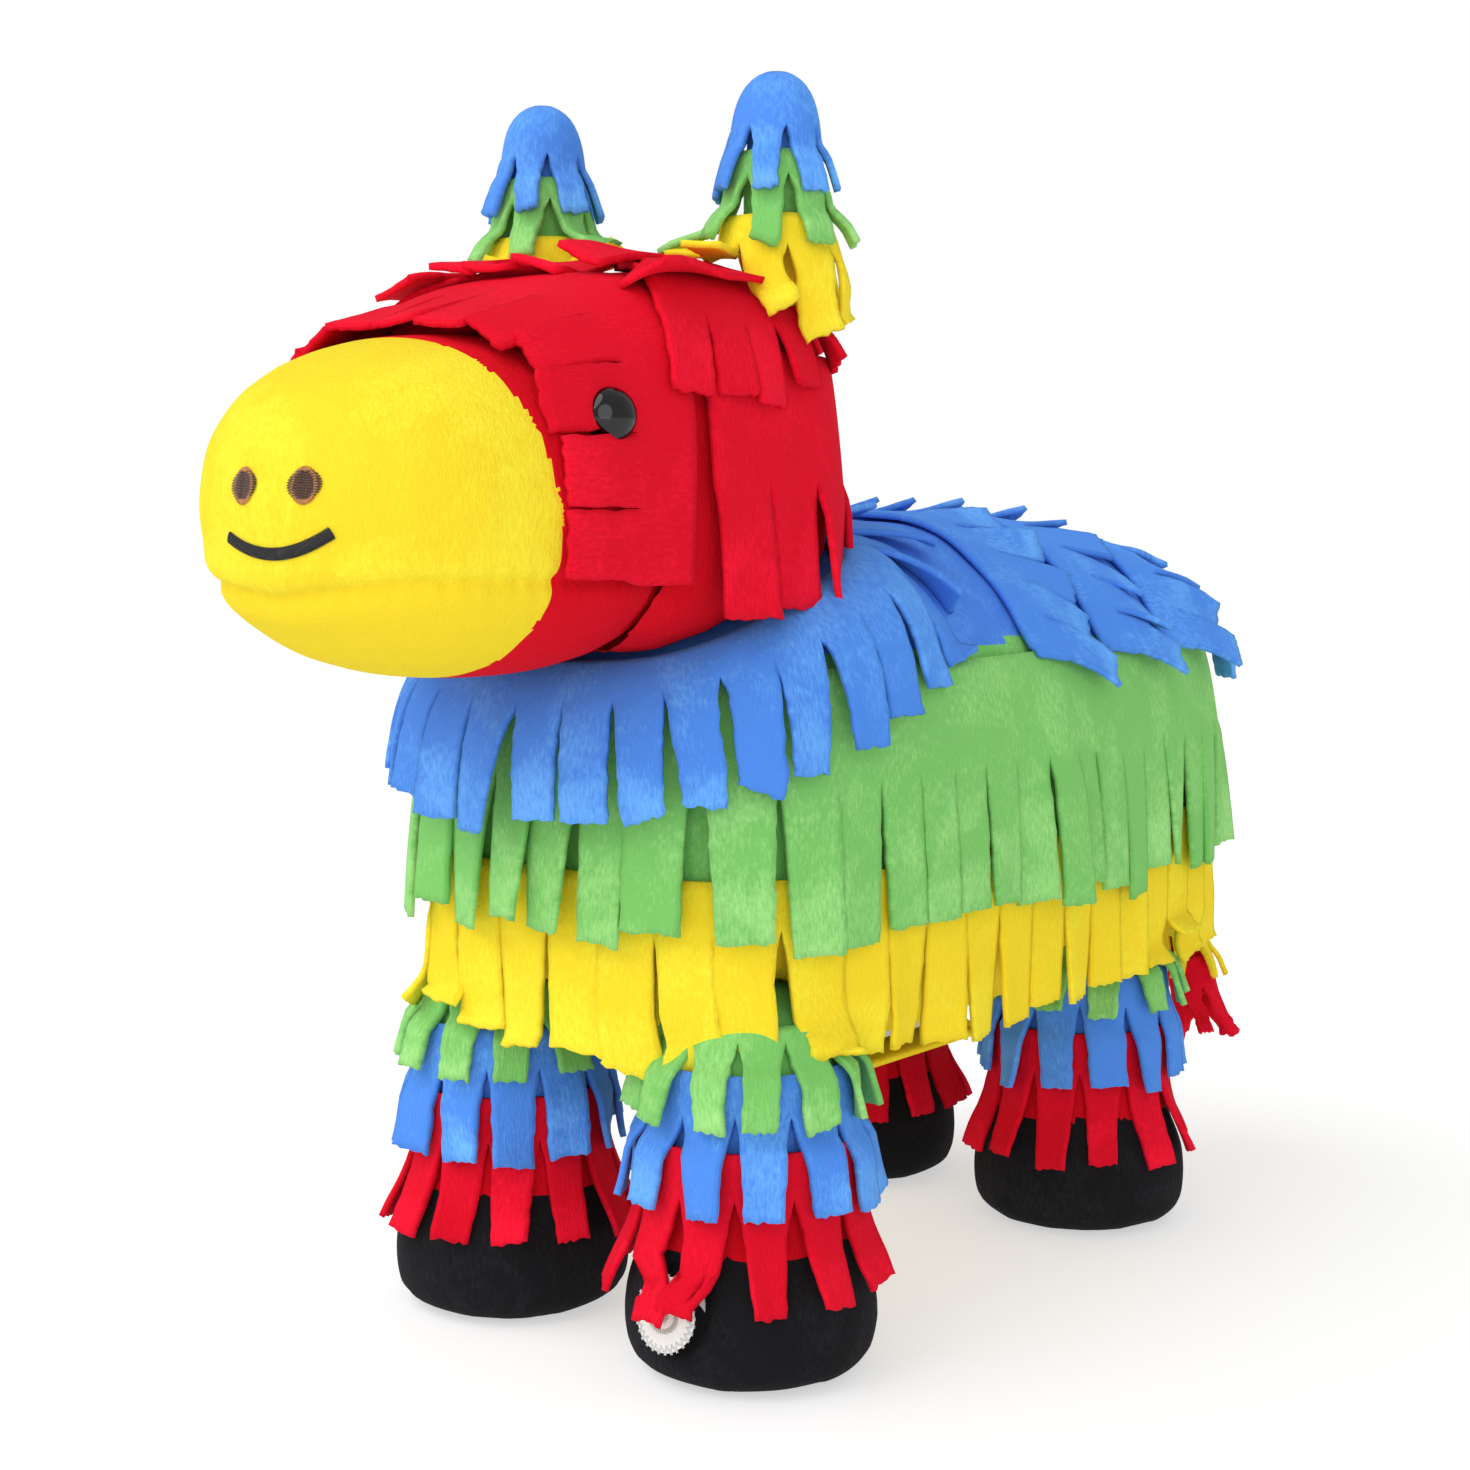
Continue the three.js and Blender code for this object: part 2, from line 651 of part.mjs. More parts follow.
function soundModule() {

	const { x: width, y: length, z: height } = caseSize;
	const low = at( - width / 2, - length / 2, 0 );
	const high = at( width / 2, length / 2, height );
	const inner = box( low.clone().addScalar( caseWall ), high.clone().subScalar( caseWall ) );
	const doorLow = at( - 17, - length / 2 + 3, 0 );
	const doorHigh = at( 17, batteryLength / 2 - 3, caseWall );
	const doorAir = 0.35;
	const doorRim = at( doorAir, doorAir, 1 );
	const doorHole = box( doorLow.clone().sub( doorRim ), doorHigh.clone().add( doorRim ) );
	const screwPlace = at( 0, doorLow.y + 4.5, 0 );
	const placed = ( geometry, where ) => geometry.translate( ...where.toArray() );
	const rod = ( radius, from, to, sides = 20 ) =>
		new THREE.CylinderGeometry( radius, radius, to - from, sides ).rotateX( PI / 2 )
			.translate( 0, 0, ( from + to ) / 2 );
	const bossTop = 9;
	const boss = box( at( - 4.5, - length / 2 + 0.5, caseWall + 0.5 ), at( 4.5, screwPlace.y + 3.5, bossTop ) );
	const slotMiddle = at( 0, length / 2 - 5.2, 0 );
	const sliderTravel = 3;
	const slotReach = 3.4 + sliderTravel / 2;
	const slot = box( at( - slotReach, - 1.9, - 1 ), at( slotReach, 1.9, caseWall + 1 ) );
	const grille = [ - 8, - 4, 0, 4, 8 ].map( x =>
		box( at( x - 0.8, - 9, height - caseWall - 1 ), at( x + 0.8, 9, height + 1 ) ) );
	const leadHole = new THREE.CylinderGeometry( leadRadius + 0.6, leadRadius + 0.6, 8, 12 )
		.translate( 14, - length / 2, 16 );
	const shell = cut( box( low, high ), inner, doorHole, placed( slot, slotMiddle ), leadHole, ...grille );
	const screwBore = placed( rod( 1.5, 1, bossTop - 1.5, 16 ), screwPlace );
	const battery = x => joined(
		new THREE.CylinderGeometry( batteryRadius, batteryRadius, batteryLength - 1, 20 ),
		new THREE.CylinderGeometry( 1.9, 1.9, batteryLength + 1, 12 ).translate( 0, 0.5, 0 ) )
		.translate( x, 1, caseWall + batteryFloor + batteryRadius );
	return group( at( 0, 0, caseBottom ),
		mesh( 'sound_case', cut( joined( shell, boss ), screwBore ), '#e6e6e2', 0.5 ),
		mesh( 'battery_door', cut( box( doorLow, doorHigh ), placed( rod( 3.1, - 1, caseWall + 1 ), screwPlace ) ),
			'#dcdcd8', 0.5 ),
		mesh( 'door_screw',
			placed( joined( rod( 2.7, 0.2, 1.9 ), rod( 1.2, 1.5, bossTop - 2.2, 14 ) ), screwPlace ),
			'#b8babd', 0.3, 1 ),
		mesh( 'battery_1', battery( - batteryRadius - 5 ), '#3f7f4f', 0.4 ),
		mesh( 'battery_2', battery( batteryRadius + 5 ), '#3f7f4f', 0.4 ),
		mesh( 'circuit_board', box( at( - 22, - 22, boardLow ), at( 22, 24, boardLow + 1.4 ) ), '#2f6b3a', 0.6 ),
		mesh( 'speaker', turned( [
			[ 0, boardLow + 2 ], [ 9, boardLow + 2 ], [ 9, boardLow + 4.5 ], [ speakerRadius, boardLow + 6 ],
			[ speakerRadius, boardLow + speakerHeight ], [ 0, boardLow + speakerHeight ] ], 24 ),
			'#4a4c50', 0.6 ),
		mesh( 'power_slider', placed( joined(
			box( at( - 3.2, - 1.6, - 1 ), at( 3.2, 1.6, caseWall + 0.6 ) ),
			box( at( - 6, - 2.8, caseWall + 0.4 ), at( 6, 2.4, caseWall + 2 ) ) ),
		slotMiddle.clone().sub( at( sliderTravel / 2, 0, 0 ) ) ), '#2b2c2f', 0.5 ) );

}

const switchLead = () => mesh( 'switch_lead', leadGeometry( leadRadius ), '#9a2a2a', 0.5 );

// The flap closes the belly pocket and is sewn along its rear edge.
const bellyFlap = () => mesh( 'belly_flap', box(
	at( - flapSize.x / 2, - flapSize.y / 2, torsoBottom - seam - flapSize.z ),
	at( flapSize.x / 2, flapSize.y / 2, torsoBottom - seam ) ), RED );

// ---- Head ----

const headForm = new PlumpForm(
	at( 0, headForward, headMiddle ), at( headWidth / 2, headLength / 2, headHeight / 2 ), 4, 3.8 );
const muzzleForm = new PlumpForm(
	at( 0, muzzleForward, muzzleMiddle ),
	at( muzzleWidth / 2, muzzleLength / 2, muzzleHeight / 2 ), 2.35, 2.35 );
const earPlaces = {
	left: at( earSpacing / 2, earForward, earRoot ), right: at( - earSpacing / 2, earForward, earRoot ) };

// Where a ray in a form's cross-section at `y` meets its surface: 0 is up, a quarter turn is +X.
function sectionReach( form, y, turn ) {

	const origin = at( 0, y, headMiddle );
	let [ inside, outside ] = [ 0, headWidth ];
	if ( form.value( origin ) > 1 ) return 0;
	for ( let i = 0; i < 40; i ++ ) {

		const half = ( inside + outside ) / 2;
		const reached = at( sin( turn ) * half, 0, cos( turn ) * half ).add( origin );
		if ( form.value( reached ) < 1 ) inside = half;
		else outside = half;

	}

	return inside;

}

// The skin of head and muzzle together, at a place along the head and a turn round it.
function faceSkin( y, turn, lift = 0 ) {

	const reach = Math.max( sectionReach( headForm, y, turn ), sectionReach( muzzleForm, y, turn ) ) + lift;
	return at( sin( turn ) * reach, y, headMiddle + cos( turn ) * reach );

}

// A safety eye: a glossy dome on a stem, held inside the head by a washer.
const eyeDepth = 1.6; // how deep the dome's back sits below the skin

function eyeAt( side, geometry ) {

	const seat = faceSkin( eyeForward, Math.atan2( eyeReach, eyeHeight - headMiddle ), 1.2 );
	return geometry.rotateY( side * PI / 2 ).rotateZ( - side * 0.35 ).translate( side * seat.x, seat.y, seat.z );

}

const eyeDome = [
	[ 0, - 9 ], [ 1.6, - 9 ], [ 1.6, - eyeDepth ], [ eyeRadius, - eyeDepth ], [ eyeRadius, - 0.6 ],
	[ eyeRadius * 0.86, 1.6 ], [ eyeRadius * 0.5, 3.2 ], [ 0, 3.8 ] ];
const eyeHole = [ [ 0, - 9.6 ], [ 7.6, - 9.6 ], [ 7.6, - 6.4 ], [ 2, - 6.4 ], [ 2, - eyeDepth - 0.4 ],
	[ eyeRadius + 0.4, - eyeDepth - 0.4 ], [ eyeRadius + 0.4, 8 ], [ 0, 8 ] ];
const eyeOpening = [ [ 0, - 6 ], [ eyeRadius + 0.8, - 6 ], [ eyeRadius + 0.8, 12 ], [ 0, 12 ] ];
const eyeWasher = [ [ 1.95, - 8 ], [ 7.2, - 8 ], [ 7.2, - 6.8 ], [ 1.95, - 6.8 ], [ 1.95, - 8 ] ];

function headPieces() {

	const pockets = Object.values( earPlaces ).map( place =>
		new THREE.SphereGeometry( earRadius + seam, 20, 14 ).translate( ...place.toArray() ) );
	const eyes = [ 1, - 1 ].map( side => eyeAt( side, turned( eyeHole, 14 ) ) );
	const below = aboveNeck( seam / 2 );
	const core = cut(
		common( headForm.geometry( 32, 12 ), below ), muzzleForm.grown( seam ).geometry( 26, 10 ),
		...pockets, ...eyes );
	const muzzle = cut( common( muzzleForm.geometry( 26, 10 ), below ), ...eyes );
	const lip = z => box( at( - 200, - 300, z ), at( 200, 200, 400 ) );
	return [
		mesh( 'head_core', core, RED ),
		mesh( 'muzzle_upper', common( muzzle, lip( lipHeight + seam / 2 ) ), YELLOW ),
		mesh( 'muzzle_lower', cut( muzzle, lip( lipHeight - seam / 2 ) ), YELLOW ),
		...[ [ 'left', 1 ], [ 'right', - 1 ] ].flatMap( ( [ name, side ] ) => [
			mesh( `eye_${ name }`, eyeAt( side, turned( eyeDome, 14 ) ), '#0b0b0d', 0.08 ),
			mesh( `eye_washer_${ name }`, eyeAt( side, turned( eyeWasher, 14 ) ), '#d9d9d4', 0.5 ),
		] ),
	];

}

// Strips on the head's front point forward over the muzzle's edge; on its sides and back they hang.
function headFringes() {

	// A comb that runs forward over the skin between two places along the head, up to `reach` round it.
	const forwardComb = ( { strips, reach, from, to, slit, lifts } ) => fringe( {
		strips, slit, bends: 2,
		place: ( across, down, lift ) =>
			faceSkin( mix( from, to, down ), mix( - reach, reach, across ), mix( ...lifts, down ) + lift ),
	} );
	const face = cut(
		forwardComb( {
			strips: 12, reach: 2, from: headForward - 26, to: muzzleForward - 10, slit: 0.4, lifts: [ 4.2, 2 ] } ),
		...[ 1, - 1 ].map( side => eyeAt( side, turned( eyeOpening, 14 ) ) ) );
	const brow = forwardComb( {
		strips: 4, reach: 0.7, from: headForward - 8, to: headForward - 33, slit: 0.4, lifts: [ 4.6, 8.2 ] } );
	const sides = { from: PI * 0.5, to: PI * 1.5 };
	return [
		mesh( 'face_fringe', face, RED ),
		mesh( 'brow_fringe', brow, RED ),
		mesh( 'temple_fringe', levelFringe( headForm, {
			...sides, strips: 12, top: headMiddle + 31.5, slitTop: headMiddle + 19.5, tip: headMiddle + 3.5,
			lifts: [ 2.2, 5.2 ] } ), RED ),
		mesh( 'nape_fringe', common( levelFringe( headForm, {
			...sides, strips: 12, top: headMiddle + 12.5, slitTop: headMiddle - 6.5, tip: headMiddle - 28.5,
			lifts: [ 1.8, 2.6 ] } ), aboveNeck( 1.5 ) ), RED ),
	];

}

// ---- Ears ----

const earStrips = 7;

function ear( side ) {

	const core = turned( [
		[ 0, - earRadius ], [ earRadius * 0.6, - earRadius * 0.8 ], [ earRadius * 0.92, - earRadius * 0.39 ],
		[ earRadius, 0 ], [ earRadius, earHeight * 0.45 ], [ earRadius * 0.8, earHeight * 0.8 ],
		[ 0, earHeight - 4 ] ], 14 );
	const inner = clearOf( earRadius, earStrips ) + 0.5;
	const tiers = {
		blue: [ [ 3.2, earHeight - 2.2 ], [ inner + 1.6, earHeight - 8 ], [ inner + 4.6, 18 ] ],
		green: [ [ inner, 26 ], [ inner + 1.8, 20 ], [ inner + 6.6, 9.6 ] ],
		yellow: [ [ inner + 2.4, 10 ], [ inner + 3.4, 8 ], [ inner + 8.8, 2.6 ] ],
	};
	const colours = { blue: BLUE, green: GREEN, yellow: YELLOW };
	return group( earPlaces[ side ],
		mesh( `ear_${ side }`, core, RED ),
		...Object.keys( tiers ).map( tier =>
			mesh( `ear_${ side }_fringe_${ tier }`, limbFringe( earStrips, tiers[ tier ] ), colours[ tier ] ) ) );

}

// ---- Tail ----

const tailStrips = 7;
const tailTier = 26;

function tail() {

	const inner = clearOf( tailRadius, tailStrips ) + 0.5;
	const tier = ( name, tip, colour ) => mesh( name, limbFringe( tailStrips,
		[ [ inner, tip + tailTier ], [ inner + 0.8, tip + 0.6 * tailTier ], [ inner + 4, tip ] ] ), colour );
	const end = - tailLength + 12;
	const core = turned( [ [ 0, end ], [ tailRadius, end + 3 ], [ tailRadius, - 3 ], [ 0, 3 ] ], 12 );
	const rump = skirtForm.centre.y + skirtForm.half.y + 3 * skirtLayer;
	const hung = group( at( 0, rump + inner + 4 + fabric, tailHinge ),
		mesh( 'tail_core', core, RED ),
		tier( 'tail_fringe_yellow', - tailLength + 18, YELLOW ),
		tier( 'tail_fringe_red', - tailLength, RED ) );
	hung.rotation.y = - tailLean;
	return hung;

}

// ---- Assembly ----

const donkey = group( at( 0, 0, 0 ),
	torsoCore(), collarFringe(), greenSkirt(), yellowSkirt(), bellyFlap(),
	...[ 4, 3, 2, 1 ].map( row => backRow( row, neckForward + 34 + backRowSpacing * row, 13 ) ),
	...Object.entries( legPlaces ).map( ( [ name, place ] ) => leg( name, place ) ),
	pressSwitch(), soundModule(), switchLead(),
	...headPieces(), ...headFringes(), ear( 'left' ), ear( 'right' ), tail() );

// The origin is on the ground, midway between the nose and the tail.
const extent = new THREE.Box3().setFromObject( donkey );
donkey.position.set( 0, - ( extent.min.y + extent.max.y ) / 2, 0 );

export default donkey;
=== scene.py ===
# A stuffed donkey pinata in cut plush fringe, built round its CAD frame.
# Metres; the donkey faces -Y, its left side is +X, and it stands on z = 0.
import json
import math
import random

import bmesh
import bpy
import numpy as np
from mathutils import Matrix, Vector
from mathutils.bvhtree import BVHTree


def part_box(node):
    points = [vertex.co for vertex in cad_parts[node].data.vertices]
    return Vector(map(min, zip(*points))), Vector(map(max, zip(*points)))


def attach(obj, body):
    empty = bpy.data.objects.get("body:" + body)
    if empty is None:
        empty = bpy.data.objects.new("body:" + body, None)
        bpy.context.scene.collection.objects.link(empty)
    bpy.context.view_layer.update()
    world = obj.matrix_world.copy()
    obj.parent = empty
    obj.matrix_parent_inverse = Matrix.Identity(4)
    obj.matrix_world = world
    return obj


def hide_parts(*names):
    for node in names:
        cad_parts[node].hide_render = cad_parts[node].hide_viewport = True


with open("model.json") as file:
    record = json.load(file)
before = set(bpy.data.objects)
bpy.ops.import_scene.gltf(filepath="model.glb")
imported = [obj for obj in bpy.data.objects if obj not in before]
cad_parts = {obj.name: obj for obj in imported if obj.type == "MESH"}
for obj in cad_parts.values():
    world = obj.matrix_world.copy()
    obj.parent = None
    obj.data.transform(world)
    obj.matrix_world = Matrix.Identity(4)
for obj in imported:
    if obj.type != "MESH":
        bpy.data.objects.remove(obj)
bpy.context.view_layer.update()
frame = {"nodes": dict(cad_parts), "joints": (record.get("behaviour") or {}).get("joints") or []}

# ---- Camera ----
# A portrait lens a little above the donkey's back, in front of its left shoulder.
camera_data = bpy.data.cameras.new("camera")
camera_data.sensor_width = 36
camera_data.lens = 57.11
camera = bpy.data.objects.new("camera", camera_data)
camera.location = (0.35237, -0.46576, 0.1912)
camera.rotation_euler = (math.radians(84.46), 0, math.radians(38.54))
bpy.context.scene.collection.objects.link(camera)
bpy.context.scene.camera = camera

# ---- Floor and light ----
# A seamless white table in a white tent, with one broad light above and to the left, in front of it.
# The tent's wall is lit brighter than what it throws on to the donkey, as a backdrop is.
bpy.context.scene.view_settings.view_transform = "Standard"


def linear(colour):
    """The linear RGBA of an sRGB hex colour."""
    parts = [int(colour[i:i + 2], 16) / 255 for i in (1, 3, 5)]
    return tuple(c / 12.92 if c <= 0.04045 else ((c + 0.055) / 1.055) ** 2.4 for c in parts) + (1,)


def add(tree, kind, settings=None, **inputs):
    """A node of a kind with its settings, and each input given a value or linked to a socket.

    An input is named in words joined by _, or by its number after a _."""
    new = tree.nodes.new("ShaderNode" + kind)
    for name, value in (settings or {}).items():
        setattr(new, name, value)
    for name, value in inputs.items():
        socket = new.inputs[int(name[1:])] if name[1:].isdigit() else new.inputs[name.replace("_", " ")]
        if isinstance(value, bpy.types.NodeSocket):
            tree.links.new(value, socket)
        else:
            socket.default_value = value
    return new


def empty_material(name):
    """A new material whose node tree holds nothing yet."""
    material = bpy.data.materials.new(name)
    material.use_nodes = True
    material.node_tree.nodes.clear()
    return material, material.node_tree


def in_millimetres(tree, **turned):
    """A mapping node that gives the place on the piece in millimetres."""
    place = add(tree, "TexCoord").outputs["Object"]
    return add(tree, "Mapping", Vector=place, Scale=(1000, 1000, 1000), **turned)


def contrasted(tree, noise, low, high):
    """A noise's middle values spread between low and high."""
    return add(tree, "MapRange", Value=noise.outputs[0], From_Min=0.3, From_Max=0.7, To_Min=low, To_Max=high)


def finish_material(tree, shader):
    add(tree, "OutputMaterial", Surface=shader.outputs[0])


def painted_table():
    """Opal white laminate, lit from below: an even, faintly mottled pale surface."""
    material, tree = empty_material("opal_white_laminate")
    place = add(tree, "TexCoord").outputs["Object"]
    cloud = add(tree, "TexNoise", Vector=place, Scale=3.0, Detail=2.0)
    colour = add(tree, "Mix", {"data_type": "RGBA"}, _0=cloud.outputs[0], _6=linear("#b8b8b8"),
                 _7=linear("#bcbcbc"))
    finish_material(tree, add(tree, "BsdfPrincipled", Base_Color=colour.outputs[2], Roughness=0.8,
                              Emission_Color=(1, 1, 1, 1), Emission_Strength=0.55))
    return material


bpy.ops.object.select_all(action="DESELECT")
bpy.ops.mesh.primitive_plane_add(size=8)
floor = bpy.context.object
floor.name = "table"
floor.data.materials.append(painted_table())

world = bpy.data.worlds.new("studio")
bpy.context.scene.world = world
world.use_nodes = True
background = world.node_tree.nodes["Background"]
background.inputs["Color"].default_value = (1, 1, 1, 1)
straight = add(world.node_tree, "LightPath").outputs["Is Camera Ray"]
wall = add(world.node_tree, "MapRange", Value=straight, To_Min=0.6, To_Max=1.0)
world.node_tree.links.new(wall.outputs[0], background.inputs["Strength"])
for label, kind, place, size, strength in (
    ("key", "SUN", (-0.6, -1.0, 1.4), math.radians(60), 1.75),
    ("fill", "AREA", (0.9, -1.1, 0.5), 1.4, 7),
):
    light_data = bpy.data.lights.new(label, kind)
    light_data.energy = strength
    if kind == "SUN":
        light_data.angle = size
    else:
        light_data.shape = "DISK"
        light_data.size = size
    light = bpy.data.objects.new(label, light_data)
    light.location = place
    light.rotation_euler = (Vector((0, 0, 0.12)) - Vector(place)).to_track_quat("-Z", "Y").to_euler()
    bpy.context.scene.collection.objects.link(light)

# ---- Stuffed torso ----
# The body is sewn from short-pile plush over firm polyester filling: green along the flanks, yellow
# lower down and under the belly, and blue on the back, where the fringe is sewn over it.
MM = 0.001


def activate(piece):
    """Selects one piece and nothing else."""
    bpy.ops.object.select_all(action="DESELECT")
    piece.select_set(True)
    bpy.context.view_layer.objects.active = piece


def apply(piece, kind, **settings):
    """Gives a piece one modifier and applies it."""
    activate(piece)
    modifier = piece.modifiers.new(kind.lower(), kind)
    for name, value in settings.items():
        setattr(modifier, name, value)
    bpy.ops.object.modifier_apply(modifier=modifier.name)


def made_of(name, mesh):
    """A new piece in the scene, selected."""
    piece = bpy.data.objects.new(name, mesh)
    bpy.context.scene.collection.objects.link(piece)
    activate(piece)
    return piece


def turn_over(piece):
    """Turns a cloth's faces to look the other way."""
    activate(piece)
    bpy.ops.object.mode_set(mode="EDIT")
    bpy.ops.mesh.select_all(action="SELECT")
    bpy.ops.mesh.flip_normals()
    bpy.ops.object.mode_set(mode="OBJECT")


def coordinates(piece):
    co = np.empty(len(piece.data.vertices) * 3)
    piece.data.vertices.foreach_get("co", co)
    return co.reshape(-1, 3)


def move_to(piece, co):
    piece.data.vertices.foreach_set("co", np.asarray(co, np.float32).ravel())
    piece.data.update()


def normals_of(piece):
    n = np.empty(len(piece.data.vertices) * 3)
    piece.data.vertex_normals.foreach_get("vector", n)
    return n.reshape(-1, 3)


def plush(name, deep, light, pile=0.8, patch=16.0, bias=0.45, flat_pattern=False, contrast=0.5):
    """Minky plush, a knitted polyester with a short brushed pile.

    The pile throws light back at grazing angles, and where a hand has brushed it the other way it
    shows a deeper colour, in patches. `pile` is the width of a tuft and `patch` of a brushed patch,
    in millimetres. The pile is drawn about three times coarser than it is, so that it shows."""
    material, tree = empty_material(name)
    coords = add(tree, "TexCoord")
    place = add(tree, "Mapping", Vector=coords.outputs["Object"], Scale=(1000, 1000, 1000))
    source = add(tree, "Mapping", Vector=coords.outputs["UV"], Scale=(1, 0.34, 1)) if flat_pattern else (
        add(tree, "Mapping", Vector=place.outputs[0], Scale=(1, 1, 0.38)))
    brushed = add(tree, "TexNoise", Vector=place.outputs[0], Scale=1 / patch, Detail=3.0, Roughness=0.62,
                  Distortion=0.7)
    spread = add(tree, "MapRange", {"interpolation_type": "SMOOTHSTEP"}, Value=brushed.outputs[0],
                 From_Min=0.36, From_Max=0.64, To_Min=-contrast / 2, To_Max=contrast / 2)
    # A vertex attribute shifts the colour towards deep or light: each strip's nap, drawn at random, and
    # painted shade under the muzzle.
    nap_and_painted_shade = add(tree, "Attribute", {"attribute_name": "nap_and_painted_shade"})
    lying = add(tree, "Math", {"operation": "ADD"}, _0=nap_and_painted_shade.outputs["Fac"], _1=spread.outputs[0])
    tufts = add(tree, "TexNoise", Vector=source.outputs[0], Scale=1 / pile, Detail=3.0, Roughness=0.7)
    grain = contrasted(tree, tufts, -0.24, 0.24)
    clamped = {"operation": "ADD", "use_clamp": True}
    shown = add(tree, "Math", clamped, _0=lying.outputs[0], _1=grain.outputs[0])
    offset = add(tree, "Math", clamped, _0=shown.outputs[0], _1=bias)
    colour = add(tree, "Mix", {"data_type": "RGBA"}, _0=offset.outputs[0], _6=linear(deep), _7=linear(light))
    coarse = add(tree, "TexNoise", Vector=source.outputs[0], Scale=1 / (pile * 3.6), Detail=2.0)
    height = add(tree, "Mix", {"data_type": "FLOAT"}, _0=0.35, _2=tufts.outputs[0], _3=coarse.outputs[0])
    bump = add(tree, "Bump", Strength=0.75, Distance=0.9 * MM, Height=height.outputs[0])
    finish_material(tree, add(
        tree, "BsdfPrincipled", Base_Color=colour.outputs[2], Roughness=0.95, Normal=bump.outputs[0],
        Specular_IOR_Level=0.12, Sheen_Weight=0.45, Sheen_Roughness=0.45, Sheen_Tint=linear(light)))
    return material


def cut_edge(name, colour):
    """The cut side of the plush, where the ends of the pile crowd together: darker, matt and rough."""
    material, tree = empty_material(name)
    place = in_millimetres(tree)
    tufts = add(tree, "TexNoise", Vector=place.outputs[0], Scale=1 / 0.7, Detail=3.0)
    shade = contrasted(tree, tufts, 0.72, 1.15)
    colour = add(tree, "Mix", {"data_type": "RGBA", "blend_type": "MULTIPLY"}, _0=1.0, _6=linear(colour),
                 _7=shade.outputs[0])
    bump = add(tree, "Bump", Strength=0.8, Distance=0.8 * MM, Height=tufts.outputs[0])
    finish_material(tree, add(tree, "BsdfPrincipled", Base_Color=colour.outputs[2], Roughness=1.0,
                              Normal=bump.outputs[0], Specular_IOR_Level=0.05))
    return material


red_body_plush = plush("red_minky_short", "#b8000f", "#ee1028", bias=0.4, contrast=0.35)
yellow_plush = plush("yellow_minky", "#eebc06", "#f7e838", bias=0.45, patch=24, contrast=0.3)
blue_plush = plush("blue_minky", "#1f54cc", "#68a8fc", bias=0.42, contrast=0.3)
green_plush = plush("green_minky", "#46a43c", "#9cdc84", bias=0.38, contrast=0.3)
black_plush = plush("black_minky", "#08080a", "#2b2a2e", bias=0.25, contrast=0.3)


def stuffed(name, nodes, body, materials, start=1.2, most=2.6, voxel=4.6, pressure=4.0, smooth=0,
            like=None, shift=(0, 0, 0)):
    """A stuffed piece in the place of its CAD solids: their shape, blown out like a filled cover.

    It starts `start` inside them and swells by `most` at the most, both in millimetres. With `like`,
    its shape is that of another solid, moved by `shift`."""
    merged = bmesh.new()
    for node in [like] if like else nodes:
        merged.from_mesh(frame["nodes"][node].data)
    bmesh.ops.translate(merged, verts=merged.verts, vec=shift)
    bmesh.ops.remove_doubles(merged, verts=merged.verts, dist=0.01 * MM)
    mesh = bpy.data.meshes.new(name)
    merged.to_mesh(mesh)
    merged.free()
    piece = made_of(name, mesh)
    apply(piece, "REMESH", mode="VOXEL", voxel_size=voxel * MM)
    apply(piece, "SMOOTH", iterations=2 + smooth)
    rest = coordinates(piece) - normals_of(piece) * start * MM
    move_to(piece, rest)
    scene = bpy.context.scene
    scene.frame_set(1)
    cloth = piece.modifiers.new("filling", "CLOTH")
    cloth.settings.use_pressure = True
    cloth.settings.uniform_pressure_force = pressure
    cloth.settings.effector_weights.gravity = 0
    cloth.settings.quality = 4
    cloth.point_cache.frame_start, cloth.point_cache.frame_end = 1, 20
    for number in range(1, 21):
        scene.frame_set(number)
    bpy.ops.object.modifier_apply(modifier=cloth.name)
    scene.frame_set(1)
    moved = coordinates(piece) - rest
    far = np.linalg.norm(moved, axis=1, keepdims=True)
    capped = rest + moved * np.minimum(1, most * MM / np.maximum(far, 1e-9))
    capped[:, 2] = np.maximum(capped[:, 2], 0.1 * MM)
    move_to(piece, capped)
    apply(piece, "SUBSURF", levels=1, render_levels=1)
    for material in materials:
        piece.data.materials.append(material)
    bpy.ops.object.shade_smooth()
    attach(piece, body)
    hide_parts(*nodes)
    return piece


def paint_faces(piece, index, chosen):
    """Gives a material index to the faces whose centre is chosen."""
    centres = np.empty(len(piece.data.polygons) * 3)
    piece.data.polygons.foreach_get("center", centres)
    indices = np.zeros(len(piece.data.polygons), np.int32)
    piece.data.polygons.foreach_get("material_index", indices)
    indices[chosen(centres.reshape(-1, 3))] = index
    piece.data.polygons.foreach_set("material_index", indices)


torso = stuffed("torso", ["torso_core"], "body", [green_plush, yellow_plush, blue_plush, red_body_plush],
                voxel=5.0, start=1.5, most=2.0)
flank_top, flank_bottom = 0.160, 0.104
paint_faces(torso, 2, lambda c: c[:, 2] > flank_top)
paint_faces(torso, 1, lambda c: c[:, 2] < flank_bottom)

# ---- Fringe on the body ----
# Each band is one flat strip of plush, cut from its lower edge into tabs, sewn on along its top and
# left to hang. The lowest row is sewn on first, and each row lies over the one below it.
FABRIC = 1.5 * MM


def surface_of(pieces):
    """One search tree of the faces of these pieces."""
    corners, faces = [], []
    for piece in pieces:
        first = len(corners)
        corners += [v.co.copy() for v in piece.data.vertices]
        faces += [[first + i for i in p.vertices] for p in piece.data.polygons]
    return BVHTree.FromPolygons(corners, faces)


